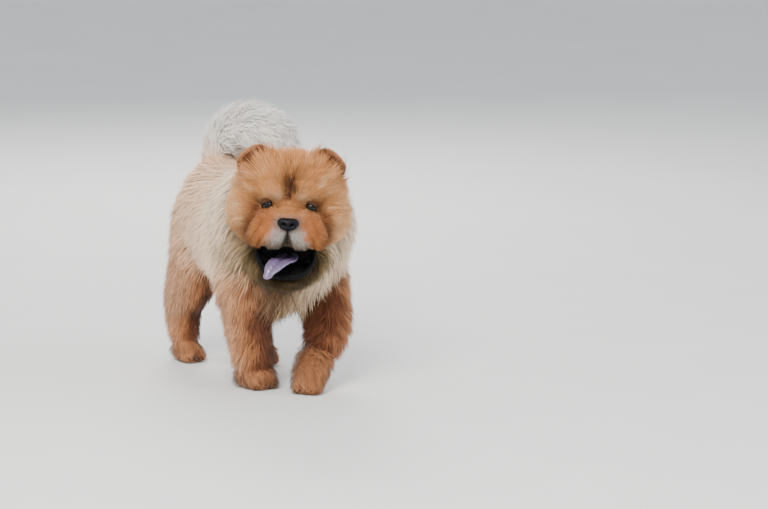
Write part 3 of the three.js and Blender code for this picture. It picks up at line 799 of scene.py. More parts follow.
        # The legs are painted darker on the sides that face in, as shade between the legs, and lighter on
        # the sides that face straight out, as painted light; the streaks are the coat's own.
        outward = self.normals[:, 0] * np.sign(wx) - 0.2 * np.minimum(-self.normals[:, 1], 1)
        streak = waves(self.points * [1, 1, 0.5], 17, RNG_SEED + 11)
        legs = painted(
            DARK_RED,
            (RED_COLOUR, smoothstep(-0.35, 0.55, outward + 0.3 * blur)),
            (RUMP_COLOUR, 0.45 * smoothstep(0.35, 0.95, outward + 0.2 * fine)),
            (RUMP_COLOUR, 0.8 * smoothstep(250, 340, wz + 26 * blur)),
            (RED_COLOUR * 0.85, 0.8 * self.share("forepaw", "hindpaw")),
            (DARK_RED, 0.55 * smoothstep(0.1, 0.9, streak)))
        back_of_chin = smoothstep(-25, 75, y + 12 * blur + 10 * fine)
        in_ear = ear_inside(self.head, self.normals @ HEAD_TURNED)
        colour = self.mixed([
            (("trunk",), trunk),
            (("neck",), painted(CREAM_COLOUR, *chest_shadow_layers)),
            (HEAD_FORMS, face),
            (("muzzle", "flew"), muzzle),
            (("chin",), blend(CHIN_COLOUR * 0.6, THROAT_COLOUR * 0.9, back_of_chin)),
            (("ear",), blend(EAR_COLOUR, EAR_INSIDE, in_ear)),
            (("foreleg", "hindleg", "forepaw", "hindpaw"), legs),
            (("tail",), blend(TAIL_COLOUR, TAIL_BASE, smoothstep(530, 480, wz + 12 * blur))),
        ])
        colour = blend(colour, LIP_SHADE, in_mouth(self.points, self.head))
        return np.clip(colour * (1 + 0.06 * blur + 0.05 * fine)[:, None], 0.004, 0.95)


def in_mouth(points, head):
    """1 in the opened mouth, 0 outside it."""
    x, y, z = head.T
    between_lips = (np.abs(x) < 64) & (y < 60) & (z > -142) & (z < np.where(y > -30, -50, -86))
    return np.maximum(smoothstep(9, 4, MOUTH.measure(points, 0.0)["out"]), between_lips)


def ear_inside(head_points, head_normals):
    """1 in the cup of an ear, 0 on its back and rim."""
    inside = np.zeros(len(head_points))
    for sign in (1, -1):
        rel = head_points - np.array([sign * EAR_SPREAD, EAR_BACK, EAR_HEIGHT])
        up = rel @ ear_direction(sign)
        across = rel @ np.array([math.cos(EAR_SPLAY), 0, -sign * math.sin(EAR_SPLAY)])
        oval = ((up - 28) / 18) ** 2 + (across / 42) ** 2
        ahead = smoothstep(0.0, 0.4, -head_normals[:, 1]) * smoothstep(8, 0, rel[:, 1])
        inside = np.maximum(inside, smoothstep(1.25, 0.85, oval) * ahead)
    return inside


@dataclass
class TuftStyle:
    """Length and width of a tuft, its rings, and how far its tip stands off, as a share of the coat's depth.

    Then how much lengths differ, how strongly tufts gather in strands, how far tips may pass the outline,
    and how much shades differ. A length of 0 takes the length that the head's hair has there.
    """

    length: float
    width: float
    rings: int
    reach: tuple = (0.55, 1.05)
    jitter: float = 0.25
    clump: float = 0.3
    out: float = 3.0
    tone: float = 0.1


# How far up a tuft bends, how flat it is, how deep it is rooted and how far one may be pulled back.
TUFT_BEND = 0.8
TUFT_FLAT = 0.45
TUFT_ROOT = 2.5
PULL_BACK = 40.0
# The hair length that has a tuft of full width on the face.
FACE_HAIR = 26.0
TRUNK_TUFTS = TuftStyle(92, 4.2, 3, out=5)
RUFF_TUFTS = TuftStyle(104, 4.0, 3, out=6, clump=0.4)
FORELEG_TUFTS = TuftStyle(46, 3.0, 2, tone=0.16, clump=0.45, out=5)
HINDLEG_TUFTS = TuftStyle(50, 3.1, 2, tone=0.14)

# Coat pieces: material, slot, which forms, how many tufts and their style. The order sets the random draws.
COATS = {
    "coat_trunk_left": ("long_coat", "cream_coat", ("trunk",), 8800, TRUNK_TUFTS),
    "coat_trunk_right": ("long_coat", "cream_coat", ("trunk",), 8800, TRUNK_TUFTS),
    "coat_ruff_left": ("long_coat", "cream_coat", ("neck",), 8600, RUFF_TUFTS),
    "coat_ruff_right": ("long_coat", "cream_coat", ("neck",), 8600, RUFF_TUFTS),
    "coat_tail": ("tail_plume", "white_coat", ("tail",), 9000,
                  TuftStyle(84, 2.8, 3, reach=(0.6, 1.2), clump=0.5, out=9)),
    "coat_cheeks": ("face_coat", "face_coat", ("cheek",), 9500, TuftStyle(46, 2.5, 2, jitter=0.2)),
    "coat_crown": ("face_coat", "face_coat", ("skull", "temple", "crown"), 9000,
                   TuftStyle(38, 2.4, 2, jitter=0.2)),
    "coat_face": ("face_coat", "face_coat", (*HEAD_FORMS, "muzzle", "flew"), 18500,
                  TuftStyle(0, 1.6, 2, tone=0.16)),
    "coat_chin": ("face_coat", "face_coat", ("chin",), 6000,
                  TuftStyle(44, 2.6, 2, clump=0.6, tone=0.2, out=8)),
    "coat_ears": ("face_coat", "face_coat", ("ear",), 7500, TuftStyle(14, 1.6, 2)),
    "coat_foreleg_right": ("long_coat", "red_coat", ("foreleg_right", "forepaw_right"), 8200, FORELEG_TUFTS),
    "coat_foreleg_left": ("long_coat", "red_coat", ("foreleg_left", "forepaw_left"), 8200, FORELEG_TUFTS),
    "coat_hindleg_right": ("long_coat", "red_coat", ("hindleg_right", "hindpaw_right"), 8000, HINDLEG_TUFTS),
    "coat_hindleg_left": ("long_coat", "red_coat", ("hindleg_left", "hindpaw_left"), 7200, HINDLEG_TUFTS),
}


def triangles_of(mesh):
    mesh.calc_loop_triangles()
    out = np.empty(len(mesh.loop_triangles) * 3, int)
    mesh.loop_triangles.foreach_get("vertices", out)
    return out.reshape(-1, 3)


class Ground:
    """The skin as places to root tufts on."""

    def __init__(self, skin):
        mesh = skin.data
        self.points = places_on(mesh)
        self.normals = vertex_normals(mesh)
        self.tris = triangles_of(mesh)
        self.coat = Coat(self.points, self.normals)
        a, b, c = (self.points[self.tris[:, k]] for k in range(3))
        self.area = np.linalg.norm(np.cross(b - a, c - a), axis=1) / 2

    def sample(self, wish, count, rng):
        """Places spread over the triangles by area times wish."""
        chance = self.area * wish
        chance = np.cumsum(chance / chance.sum())
        pick = np.searchsorted(chance, (np.arange(count) + rng.uniform(0, 1, count)) / count)
        pick = np.minimum(pick, len(self.tris) - 1)
        u, v = rng.uniform(0, 1, (2, count))
        flip = u + v > 1
        u = np.where(flip, 1 - u, u)
        v = np.where(flip, 1 - v, v)
        return self.tris[pick], np.stack([1 - u - v, u, v], 1)


def mixed_at(values, corners, weights):
    """A value of the skin's vertices at places in its triangles."""
    if values.ndim > 1:
        weights = weights[..., None]
    return (values[corners] * weights).sum(1)


def bare_mask(head):
    """0 where the face is bare: eyes, nose and the edge of the mouth."""
    x, y, z = head.T
    side = np.abs(x)
    eye = ((side - EYE_SPREAD) / 15) ** 2 + ((z - EYE_HEIGHT) / 8.5) ** 2
    clear_eye = np.where(y < 0, smoothstep(0.75, 1.1, eye), 1)
    nose = (x / 27) ** 2 + ((z - NOSE_HEIGHT) / 17) ** 2
    clear_nose = np.where(y < -96, smoothstep(0.85, 1.1, nose), 1)
    return clear_eye * clear_nose


def wish_for(name, starts, ground):
    """How much each vertex of the skin wants tufts of a piece."""
    head = ground.coat.head
    x, y, z = head.T
    wish = ground.coat.share(*starts)
    front = smoothstep(24, -10, y)
    if name == "coat_face":
        wish = wish * front
    elif name in ("coat_crown", "coat_cheeks"):
        wish = wish * (1 - front)
    elif name == "coat_chin":
        wish = wish * ((z < -134) | (np.abs(x) > 64) | (y > 30)) * (z < -84)
    elif name in ("coat_trunk_left", "coat_ruff_left"):
        wish = wish * (ground.points[:, 0] >= 0)
    elif name in ("coat_trunk_right", "coat_ruff_right"):
        wish = wish * (ground.points[:, 0] < 0)
    return wish * bare_mask(head) * (1 - in_mouth(ground.points, head))


def patch_map(name, roots, ground_head):
    """Where each tuft's patch lies on an unwrap of the piece's own skin: round it and along it."""
    material, slot, starts, count, style = COATS[name]
    if material == "face_coat":
        rel = ground_head - np.array([0, 60, -20])
        round_it = np.arctan2(rel[:, 0], -rel[:, 1]) / (2 * math.pi) + 0.5
        along_it = np.arcsin(np.clip(unit(rel)[:, 2], -1, 1)) / math.pi + 0.5
    else:
        names = [each for each in FORMS if each.startswith(starts)]
        measured = [FORMS[each].measure(roots, skin_fill(each)) for each in names]
        out = np.stack([m["out"] for m in measured], 1).argmin(1)
        pick = np.arange(len(roots))
        angle = np.stack([m["angle"] for m in measured], 1)[pick, out]
        station = np.stack([m["station"] for m in measured], 1)[pick, out]
        round_it = angle / (2 * math.pi) + 0.5
        along_it = (out + station) / len(names)
    return np.stack([round_it, along_it], 1) * (1 - 4 * PATCH) + 2 * PATCH


def within_coat(points, normal, allowed):
    """Pulls places back to at most so many millimetres past the full coat's outline, and off the floor."""
    points = points.copy()
    for _ in range(2):
        out = np.min([form.measure(points, 1.0)["out"] for form in FORMS.values()], axis=0)
        points -= normal * np.clip(out - allowed, 0, PULL_BACK)[:, None]
    points[:, 2] = np.maximum(points[:, 2], TUFT_LIFT)
    return points


def grow_coat(name, ground, rng):
    """One coat piece: bent, tapered, closed tufts rooted in the skin."""
    material, slot, starts, count, style = COATS[name]
    tri_wish = wish_for(name, starts, ground)[ground.tris].mean(1)
    corners, weights = ground.sample(tri_wish, count, rng)
    coat = ground.coat
    wanted = (ground.points, ground.normals, coat.lie, coat.depth, coat.shift, coat.colour, coat.length)
    root, normal, lie, depth, shift, colour, face_length = (
        mixed_at(values, corners, weights) for values in wanted)
    normal = unit(normal)
    lie = unit(lie)
    scale = np.clip(depth / np.percentile(depth, 85), 0.6 if "leg" in name else 0.3, 1.15)
    length = style.length * scale
    if not style.length:
        length = face_length
        depth = np.maximum(depth, 0.45 * length)
        scale = np.clip(length / FACE_HAIR, 0.4, 1.1)
    size = length * rng.uniform(1 - style.jitter, 1 + style.jitter, count)
    reach = depth * rng.uniform(*style.reach, count)
    stray = np.stack([waves(root, 26, RNG_SEED + 20 + k, octaves=2) for k in range(3)], 1)
    heading = lie + style.clump * stray + rng.normal(0, 0.1, (count, 3))
    heading -= normal * (heading * normal).sum(1, keepdims=True)
    heading = unit(heading)
    hang = shift * (reach / np.maximum(depth, 1))[:, None]
    tip = root + normal * reach[:, None] + heading * size[:, None] + hang
    bend = root + normal * (reach * TUFT_BEND)[:, None] + heading * (size * 0.3)[:, None]
    allowed = style.out * rng.uniform(0.1, 1.9, count)
    tip = within_coat(tip, normal, allowed)
    bend = within_coat(bend, normal, allowed)
    start = root - normal * np.minimum(TUFT_ROOT, 0.2 * size)[:, None]
    return tuft_object(name, start, bend, tip, normal, colour, style, scale, rng)


def tuft_object(name, start, bend, tip, normal, colour, style, scale, rng):
    """The mesh of all the tufts of a piece: rings of three points, and a tip."""
    count = len(start)
    rings = style.rings
    last = 3 * rings - 3
    levels = np.arange(rings) / rings
    across = unit(np.cross(normal, tip - start) + 1e-6)
    spin = rng.uniform(-0.7, 0.7, count)[:, None]
    verts = np.empty((count, last + 4, 3))
    shade = np.empty((count, last + 4, 3))
    half = style.width / 2 * (0.45 + 0.55 * scale) * rng.uniform(0.75, 1.25, count)
    for j, u in enumerate(levels):
        centre = start * (1 - u) ** 2 + bend * (2 * u * (1 - u)) + tip * u**2
        heading = unit((bend - start) * (1 - u) + (tip - bend) * u)
        rise = unit(np.cross(heading, across))
        wide = across * np.cos(spin) + rise * np.sin(spin)
        thin = unit(np.cross(heading, wide))
        swell = (1 - u) ** 0.6 * (0.75 + 0.5 * u)
        for k in range(3):
            angle = 2 * math.pi * k / 3
            offset = wide * math.cos(angle) + thin * (math.sin(angle) * TUFT_FLAT)
            verts[:, j * 3 + k] = centre + offset * (half * swell)[:, None]
            shade[:, j * 3 + k] = unit(0.35 * unit(offset) + 0.9 * unit(0.75 * normal + 0.25 * rise))
    verts[:, -1] = tip
    shade[:, -1] = unit(normal + 0.2 * unit(tip - bend))
    along = np.append(np.repeat(levels, 3), 1.0)
    tone = rng.normal(1, style.tone, (count, 1)) + rng.normal(0, 0.02, (count, 3))
    tinted = np.repeat((colour * tone)[:, None], last + 4, 1)

    edges = [(k, (k + 1) % 3) for k in range(3)]
    quads = [(j + a, j + b, j + 3 + b, j + 3 + a) for j in range(0, last, 3) for a, b in edges]
    points = [(last + a, last + b, last + 3) for a, b in edges] + [(2, 1, 0)]
    base = (np.arange(count) * (last + 4))[:, None]
    loops = np.concatenate([(base + np.array(faces).ravel()[None]).ravel() for faces in (quads, points)])
    sizes = np.repeat([4, 3], [count * len(quads), count * len(points)])

    mesh = bpy.data.meshes.new(name)
    mesh.vertices.add(count * (last + 4))
    mesh.vertices.foreach_set("co", to_frame(verts.reshape(-1, 3)).ravel())
    mesh.loops.add(len(loops))
    mesh.loops.foreach_set("vertex_index", loops)
    mesh.polygons.add(len(sizes))
    mesh.polygons.foreach_set("loop_start", np.concatenate([[0], np.cumsum(sizes)[:-1]]))
    mesh.update(calc_edges=True)
    mesh.shade_smooth()
    add_attribute(mesh, "coat_colour", "FLOAT_COLOR", np.clip(tinted.reshape(-1, 3), 0.003, 0.98))
    add_attribute(mesh, "along", "FLOAT", np.tile(along, count))

    # Each tuft's faces fill one small patch at its root's place: round the tuft across, up the tuft upwards.
    centre = patch_map(name, start, from_head(start))
    round_it = np.append(np.tile(np.arange(3) / 3, rings), 0.5)
    patch = np.stack([round_it - 0.5, along - 0.5], 1) * PATCH
    corner = (centre[:, None] + patch[None]).reshape(-1, 2)
    mesh.uv_layers.new(name="OFBake").data.foreach_set("uv", corner[loops].ravel())
    mesh.normals_split_custom_set_from_vertices(shade.reshape(-1, 3))
    return add_object(name, mesh)


# Materials.
class Nodes:
    """A short way to add and join shader nodes."""

    def __init__(self, tree):
        self.tree = tree

    def fill(self, node, inputs):
        """Gives inputs of a node their values, or joins other nodes' outputs to them."""
        for key, value in inputs.items():
            if isinstance(value, bpy.types.NodeSocket):
                self.tree.links.new(value, node.inputs[key])
            else:
                node.inputs[key].default_value = value
        return node

    def add(self, kind, inputs=None, **settings):
        node = self.tree.nodes.new(kind)
        for key, value in settings.items():
            setattr(node, key, value)
        return self.fill(node, inputs or {})

    def place(self):
        return self.add("ShaderNodeTexCoord").outputs["Object"]

    def noise(self, scale, detail):
        """Noise that stays with the object."""
        inputs = {"Vector": self.place(), "Scale": scale, "Detail": detail}
        return self.add("ShaderNodeTexNoise", inputs).outputs["Fac"]

    def spread(self, value, low, high, start=0.0, end=1.0):
        """From low to high as the value goes from start to end."""
        inputs = {"Value": value, "From Min": start, "From Max": end, "To Min": low, "To Max": high}
        return self.add("ShaderNodeMapRange", inputs).outputs["Result"]

    def times(self, a, b):
        return self.add("ShaderNodeMath", {0: a, 1: b}, operation="MULTIPLY").outputs[0]

    def bump(self, height, strength, distance):
        inputs = {"Height": height, "Strength": strength, "Distance": distance}
        return self.add("ShaderNodeBump", inputs).outputs["Normal"]

    def ramp(self, amount, first, second, *others):
        """A colour for each place on a ramp."""
        node = self.add("ShaderNodeValToRGB", {"Fac": amount})
        elements = node.color_ramp.elements
        for element, (position, colour) in zip(elements, (first, second)):
            element.color = (*colour, 1)
            element.position = position
        for position, colour in others:
            elements.new(position).color = (*colour, 1)
        return node.outputs["Color"]


def coat_shade_group():
    """Painted shade that darkens hair towards its root, deep in the coat, a lighter tip, and fine variation
    of hair.
    """
    tree = bpy.data.node_groups.new("CoatShade", "ShaderNodeTree")
    tree.interface.new_socket("Colour", in_out="OUTPUT", socket_type="NodeSocketColor")
    tree.interface.new_socket("Colour", in_out="INPUT", socket_type="NodeSocketColor")
    for name in ("Along", "Root Shade", "Tip Lift"):
        tree.interface.new_socket(name, in_out="INPUT", socket_type="NodeSocketFloat")
    nodes = Nodes(tree)
    given = nodes.add("NodeGroupInput")
    rise = nodes.spread(given.outputs["Along"], given.outputs["Root Shade"], 1.0, end=0.75)
    tip = nodes.spread(given.outputs["Along"], 1.0, given.outputs["Tip Lift"], start=0.6)
    vary = nodes.spread(nodes.noise(90.0, 3.0), 0.86, 1.14)
    shade = nodes.times(nodes.times(rise, tip), vary)
    inputs = {0: given.outputs["Colour"], "Scale": shade}
    scaled = nodes.add("ShaderNodeVectorMath", inputs, operation="SCALE").outputs["Vector"]
    nodes.add("NodeGroupOutput", {"Colour": scaled})
    return tree


COAT_SHADE = coat_shade_group()


def new_material(name):
    material = bpy.data.materials.new(name)
    material.use_nodes = True
    return material, Nodes(material.node_tree), material.node_tree.nodes["Principled BSDF"]


def coat_colour(nodes, along, root_shade, tip_lift):
    """The piece's own colour, with painted shade towards the root and a lighter tip."""
    own = nodes.add("ShaderNodeAttribute", attribute_name="coat_colour").outputs["Color"]
    inputs = {"Colour": own, "Along": along, "Root Shade": root_shade, "Tip Lift": tip_lift}
    shade = nodes.add("ShaderNodeGroup", node_tree=COAT_SHADE)
    return nodes.fill(shade, inputs).outputs["Colour"]


def coat_material(name, root_shade, tip_lift, roughness, sheen):
    """Hair: the tuft's own colour, darkened towards the root as painted shade deep in the coat, and lighter
    at the tip.
    """
    material, nodes, shader = new_material(name)
    along = nodes.add("ShaderNodeAttribute", attribute_name="along").outputs["Fac"]
    nodes.fill(shader, {
        "Base Color": coat_colour(nodes, along, root_shade, tip_lift),
        "Roughness": roughness,
        "Specular IOR Level": 0.1,
        "Sheen Weight": sheen,
        "Sheen Roughness": 0.5,
    })
    return material


def skin_material():
    """Skin under the coat, with short flat hair as fine bump and the coat's colours, darkened a little more
    as painted shade under the coat.
    """
    material, nodes, shader = new_material("short_coat")
    nodes.fill(shader, {
        "Base Color": coat_colour(nodes, 0.6, 0.4, 1.0),
        "Normal": nodes.bump(nodes.noise(650.0, 3.0), 0.5, 0.002),
        "Roughness": 0.9,
        "Specular IOR Level": 0.15,
    })
    return material


def wet_material(name, colour, deep_colour, roughness, scale, bump_depth, coat, specular=0.5):
    """Bare damp skin: nose, lips, gums and tongue."""
    material, nodes, shader = new_material(name)
    cells = nodes.add("ShaderNodeTexVoronoi", {"Vector": nodes.place(), "Scale": scale})
    noise = nodes.noise(60.0, 4.0)
    shades = {"Factor": noise, "A": (*colour, 1), "B": (*deep_colour, 1)}
    nodes.fill(shader, {
        "Base Color": nodes.add("ShaderNodeMix", shades, data_type="RGBA").outputs["Result"],
        "Normal": nodes.bump(cells.outputs["Distance"], 0.6, bump_depth),
        "Roughness": nodes.spread(noise, roughness * 0.7, roughness * 1.3),
        "Coat Weight": coat,
        "Coat Roughness": 0.12,
        "Specular IOR Level": specular,
    })
    return material


def eye_material():
    """A dark brown eye with a black pupil, seen from in front of the ball."""
    material, nodes, shader = new_material("eye_dark_brown")
    facing = nodes.add("ShaderNodeAttribute", attribute_name="from_pupil").outputs["Fac"]
    pupil = (0.3, (0.002, 0.002, 0.002))
    iris = (0.4, (0.040, 0.015, 0.006))
    rim = (0.62, (0.006, 0.003, 0.002))
    nodes.fill(shader, {
        "Base Color": nodes.ramp(facing, pupil, iris, rim),
        "Roughness": 0.12,
        "Specular IOR Level": 0.15,
        "Coat Weight": 0.35,
        "Coat Roughness": 0.02,
    })
    return material


# Bare parts.
def make_nose():
    nose = bare_object("nose_leather", [NOSE], NOSE_VOXEL)
    head = from_head(places_on(nose.data))
    head[:, 0] *= 1 + 0.17 * np.clip((head[:, 2] - NOSE_HEIGHT) / 14, -1, 0.4)
    head[:, 2] -= 3 * spot((head[:, 0], 0, 9)) * smoothstep(NOSE_HEIGHT, -38, head[:, 2])
    points = on_head(head)
    set_coordinates(nose.data, to_frame(points))
    x, y, z = head.T
    side = np.abs(x)
    nostril = spot((side, 11, 6.2), (z - 0.25 * (side - 11), -27, 5.4))
    slit = spot((side, 17.5, 4.5), (z + 0.2 * (side - 17), -31, 1.6))
    groove = spot((x, 0, 1.3)) * smoothstep(-20, -28, z)
    wing = spot((side, 18, 5), (z, -25, 7))
    depth = 1.6 * wing - 3.5 * slit * smoothstep(-100, -114, y)
    depth -= smoothstep(-112, -120, y) * (14 * nostril + 2.2 * groove)
    push_out(nose.data, points, vertex_normals(nose.data), depth)
    return nose


def make_mouth():
    mouth = bare_object("lips_and_gums", JAW_FORMS, MOUTH_VOXEL)
    relax(mouth.data, np.ones(len(mouth.data.vertices)), rounds=4)
    points = places_on(mouth.data)
    push_out(mouth.data, points, vertex_normals(mouth.data), 0.7 * waves(points, 9, RNG_SEED + 31))
    return mouth


def make_tongue():
    tongue = bare_object("tongue_wet", [TONGUE], TONGUE_VOXEL)
    points = places_on(tongue.data)
    angle = TONGUE.measure(points, 0.0)["angle"]
    across = np.cos(angle)
    depth = smoothstep(-0.2, 0.4, np.sin(angle)) * (1.6 * across**2 - 4.6 * spot((across, 0, 0.22)))
    depth += 0.5 * waves(points, 12, RNG_SEED + 32)
    push_out(tongue.data, points, vertex_normals(tongue.data), depth)
    return tongue


def tube(path, radius, sides=12):
    """Vertices and faces of a closed, tapering tube along a path."""
    path = np.asarray(path, float)
    radius = np.broadcast_to(radius, len(path))
    heading = unit(np.gradient(path, axis=0))
    side = unit(np.cross(heading, [0.13, 0.21, 1.0]))
    rise = np.cross(heading, side)
    angles = np.arange(sides) * 2 * math.pi / sides
    rings = [
        path[k] + radius[k] * (np.cos(angles)[:, None] * side[k] + np.sin(angles)[:, None] * rise[k])
        for k in range(len(path))
    ]
    return np.vstack([*rings, path[:1], path[-1:]]), ring_faces(len(path), sides)


def make_eye(side_name, sign):
    centre = on_head([sign * EYE_SPREAD, EYE_DEPTH, EYE_HEIGHT])
    eye = bmesh.new()
    bmesh.ops.create_uvsphere(eye, u_segments=48, v_segments=32, radius=EYE_RADIUS * 0.995)
    mesh = bpy.data.meshes.new(f"eyeball_{side_name}")
    eye.to_mesh(mesh)
    eye.free()
    local = coordinates(mesh)
    gaze = unit(HEAD_TURNED @ np.array([sign * 0.12, -1, 0.02]))
    away = np.arccos(np.clip(unit(local) @ gaze, -1, 1))
    add_attribute(mesh, "from_pupil", "FLOAT", np.clip(away / (math.pi / 2), 0, 1))
    set_coordinates(mesh, to_frame(local + centre))
    mesh.shade_smooth()
    return add_object(mesh.name, mesh)


# The lids, in radians on the ball: how high the opening goes up and down, its slant, half its length, and
# how far the lids reach back.
LID_OPENING = ((1, 0.46), (-1, 0.32))
LID_SLANT = 0.42
LID_CORNER = 1.08
LID_REACH = 1.4


def make_lids(side_name, sign):
    """Upper and lower lid: shells over the ball that leave an almond opening, lower at its outer corner."""
    round_it = np.linspace(-1.35, 1.35, 37)
    up_it = np.linspace(0, 1, 11)
    across_count, up_count = len(round_it), len(up_it)
    opening = np.maximum(1 - (round_it / LID_CORNER) ** 2, 0)
    corners = [i * up_count + j for i in range(across_count - 1) for j in range(up_count - 1)]
    lid_faces = [(k, k + 1, k + up_count + 1, k + up_count) for k in corners]
    radius = EYE_RADIUS + 0.6 + 0.4 * spot((up_it, 0.1, 0.12))[None] + 1.8 * up_it[None]
    parts = []
    for arch, height in LID_OPENING:
        edge = arch * height * opening - sign * LID_SLANT * round_it
        rise = edge[:, None] + up_it[None] * (arch * LID_REACH - edge[:, None])
        level = radius * np.cos(rise)
        across = level * np.sin(round_it)[:, None]
        ahead = -level * np.cos(round_it)[:, None]
        shell = np.stack([across, ahead, radius * np.sin(rise)], 2).reshape(-1, 3)
        parts.append((on_head(shell + [sign * EYE_SPREAD, EYE_DEPTH, EYE_HEIGHT]), lid_faces))
    lids = joined_object(f"lids_{side_name}", parts)
    dark = np.tile(smoothstep(0.34, 0.1, up_it), across_count * len(parts))
    # Dark brown painted shade of the brow over the lids, passing into their own near-black edge.
    add_attribute(lids.data, "coat_colour", "FLOAT_COLOR", blend(MASK_AND_SHADE_COLOUR * 0.25, LID_EDGE, dark))
    return apply_modifier(lids, "SOLIDIFY", thickness=0.8 * MM, offset=0.0)


def facing_skin(tree, x, z):
    """How far forward the skin is at x, z on the head, or nothing where a line from in front misses it."""
    start = Vector(to_frame(on_head([x, -260, z])))
    ahead = Vector(HEAD_TURNED @ np.array([0, 1.0, 0]))
    hit = tree.ray_cast(start, ahead, 0.4)[0]
    return None if hit is None else from_head(np.array(hit) / MM - DOG_AT)[1]


def make_upper_lip(skin):
    """The dark edge of the upper lip, along the foot of the flews, and the cleft down from the nose."""
    tree = BVHTree.FromObject(skin, bpy.context.evaluated_depsgraph_get())
    edge = []
    for x in np.linspace(-56, 56, 57):
        last = None
        for z in np.arange(-64, -126, -1.5):
            y = facing_skin(tree, x, z)
            if last is not None and (y is None or y - last[1] > 8):
                break
            last = (x, y, z) if y is not None else last
        if last is not None:
            edge.append(last)
    edge = np.array(edge)
    for _ in range(6):
        edge[1:-1] = (edge[:-2] + 2 * edge[1:-1] + edge[2:]) / 4
    middle = edge[len(edge) // 2]
    drop = [(0, facing_skin(tree, 0, z) - 0.2, z) for z in np.arange(-40, middle[2], -3)]
    lip = tube(on_head(edge + [0, 1.5, 0.5]), 2.3)
    cleft = tube(on_head(drop), 1.3)
    return joined_object("upper_lip_edge", [lip, cleft])


def make_claws():
    """Four claws on each paw, set in the front of the toes."""
    steps = np.linspace(0, 1, 9)
    claws = []
    for rows in PAWS.values():
        front, ahead, side = paw_front(rows)
        for k in TOES:
            spread = k * rows[-1][3] * 0.42
            root = front + ahead * (14 + 8 * (1.5 - abs(k)) / 1.5) + side * spread + np.array([0, 0, -6])
            path = root + ahead * (15 * steps)[:, None] + side * (k * 1.2 * steps)[:, None]
            path[:, 2] = np.maximum(root[2] + 2 * steps - 9 * steps**2, CLAW_LIFT)
            claws.append(tube(path, 2.6 * (1 - 0.8 * steps), sides=10))
    return joined_object("claws", claws)


# Putting the dog together.
def finish_piece(piece, material, nodes=()):
    piece.data.materials.clear()
    piece.data.materials.append(material)
    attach(piece, "root")
    if nodes:
        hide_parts(*nodes)


def build_dog():
    rng = np.random.default_rng(RNG_SEED)
    skin = make_skin()
    ground = Ground(skin)
    add_attribute(skin.data, "coat_colour", "FLOAT_COLOR", ground.coat.colour)
    flesh = [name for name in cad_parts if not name.startswith(("eye", "nose", "tongue", "jaw"))]
    short_hair = skin_material()
    finish_piece(skin, short_hair, nodes=flesh)

    # Each hair material: how dark its painted shade at the root is, how much lighter its tip, its roughness
    # and its sheen.
    hair = {
        "long_coat": coat_material("long_coat", 0.6, 1.12, 0.8, 0.2),
        "tail_plume": coat_material("tail_plume", 0.93, 1.05, 0.75, 0.3),
        "face_coat": coat_material("face_coat", 0.5, 1.12, 0.85, 0.03),
    }
    for name, (material, slot, *_) in COATS.items():
        finish_piece(grow_coat(name, ground, rng), hair[material])

    # Colour, deep colour, roughness, cells to a metre, depth of the bump, gloss and strength of highlights.
    nose_leather = wet_material(
        "nose_leather", (0.005, 0.006, 0.008), (0.002, 0.002, 0.003), 0.4, 1100.0, 0.0006, 0.1, 0.08)
    lip_skin = wet_material(
        "lip_skin", (0.005, 0.004, 0.004), (0.002, 0.002, 0.002), 0.6, 500.0, 0.0008, 0.0, 0.08)
    tongue_skin = wet_material(
        "tongue_skin", (0.17, 0.12, 0.22), (0.10, 0.07, 0.15), 0.3, 900.0, 0.0005, 0.7)
    claw_horn = wet_material(
        "claw_horn", (0.030, 0.024, 0.020), (0.012, 0.010, 0.009), 0.4, 300.0, 0.0003, 0.2)
    finish_piece(make_nose(), nose_leather, nodes=["nose"])
    finish_piece(make_mouth(), lip_skin, nodes=["jaw"])
    finish_piece(make_tongue(), tongue_skin, nodes=["tongue"])
    finish_piece(make_upper_lip(skin), lip_skin)
    finish_piece(make_claws(), claw_horn)
    iris = eye_material()
    for side_name, sign in SIDES:
        finish_piece(make_eye(side_name, sign), iris, nodes=[f"eye_{side_name}"])
        finish_piece(make_lids(side_name, sign), short_hair)


# Camera, light and floor.
CAMERA_AZIMUTH = math.radians(-27)
CAMERA_ELEVATION = math.radians(10)
CAMERA_DISTANCE = 9000.0
MM_PER_PIXEL = 2.4
FRAME_PIXELS = (768, 509)
PAW_PIXEL = (257, 386)
PAW_PLACE = np.array([-60.0, -150.0, 0.0])
SENSOR = 36.0
FLOOR_HALF = 40.0


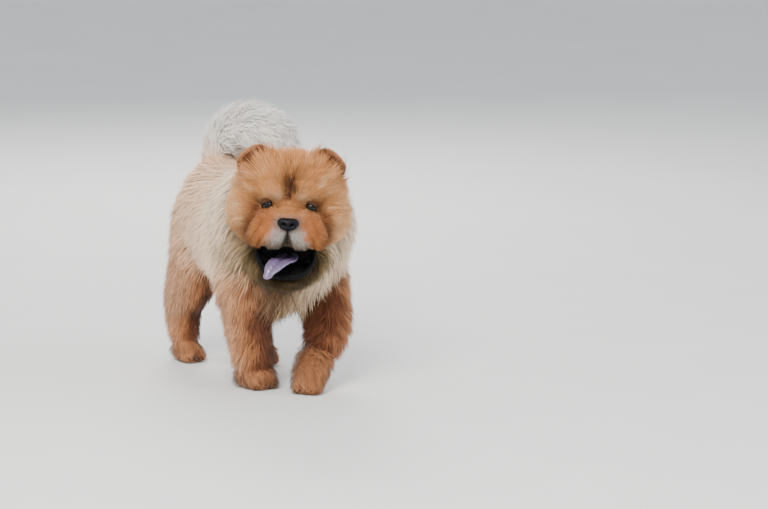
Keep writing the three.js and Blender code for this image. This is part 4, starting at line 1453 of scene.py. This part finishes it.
def place_camera():
    """The photograph's view: the right forepaw's place on the floor is seen at its pixel."""
    right = np.array([math.cos(CAMERA_AZIMUTH), math.sin(CAMERA_AZIMUTH), 0])
    level = math.cos(CAMERA_ELEVATION)
    back = np.array([
        math.sin(CAMERA_AZIMUTH) * level, -math.cos(CAMERA_AZIMUTH) * level, math.sin(CAMERA_ELEVATION)])
    up = np.cross(back, right)
    across = (FRAME_PIXELS[0] / 2 - PAW_PIXEL[0]) * MM_PER_PIXEL
    above = (PAW_PIXEL[1] - FRAME_PIXELS[1] / 2) * MM_PER_PIXEL
    eye = PAW_PLACE + right * across + up * above + back * CAMERA_DISTANCE
    camera = bpy.data.cameras.new("photo_camera")
    camera.sensor_width = SENSOR
    camera.lens = SENSOR * CAMERA_DISTANCE / MM_PER_PIXEL / FRAME_PIXELS[0]
    camera.clip_end = 60.0
    holder = add_object("photo_camera", camera)
    place = Matrix.Identity(4)
    for column, vector in enumerate((right, up, back)):
        place.col[column] = (*vector, 0)
    place.col[3] = (*to_frame(eye), 1)
    holder.matrix_world = place
    bpy.context.scene.camera = holder


def soft_light(name, place, size, power, colour):
    light = bpy.data.lights.new(name, "AREA")
    light.shape = "DISK"
    light.size = size
    light.energy = power
    light.color = colour
    holder = add_object(name, light)
    holder.location = place
    aim = Vector((0, -0.05, 0.3)) - Vector(place)
    holder.rotation_euler = aim.to_track_quat("-Z", "Y").to_euler()


def make_studio():
    edge = FLOOR_HALF
    corners = [(-edge, -edge, 0), (edge, -edge, 0), (edge, edge, 0), (-edge, edge, 0)]
    floor = new_object("studio_floor", corners, [(0, 1, 2, 3)], smooth=False)
    material, nodes, shader = new_material("studio_floor")
    grey = nodes.ramp(nodes.noise(3.0, 4.0), (0.0, (0.66, 0.66, 0.65)), (1.0, (0.72, 0.72, 0.71)))
    nodes.fill(shader, {"Base Color": grey, "Roughness": 0.8})
    floor.data.materials.append(material)
    world = bpy.data.worlds.new("studio_light")
    world.use_nodes = True
    sky = {"Color": (0.92, 0.95, 1.0, 1), "Strength": 0.95}
    Nodes(world.node_tree).fill(world.node_tree.nodes["Background"], sky)
    bpy.context.scene.world = world
    soft_light("key", (-2.2, -2.6, 3.4), 2.2, 320, (1.0, 0.97, 0.92))
    soft_light("fill", (2.8, -2.4, 1.8), 2.4, 70, (0.92, 0.96, 1.0))
    soft_light("back", (1.2, 3.2, 2.6), 2.0, 150, (1.0, 0.98, 0.95))


place_camera()
make_studio()
build_dog()
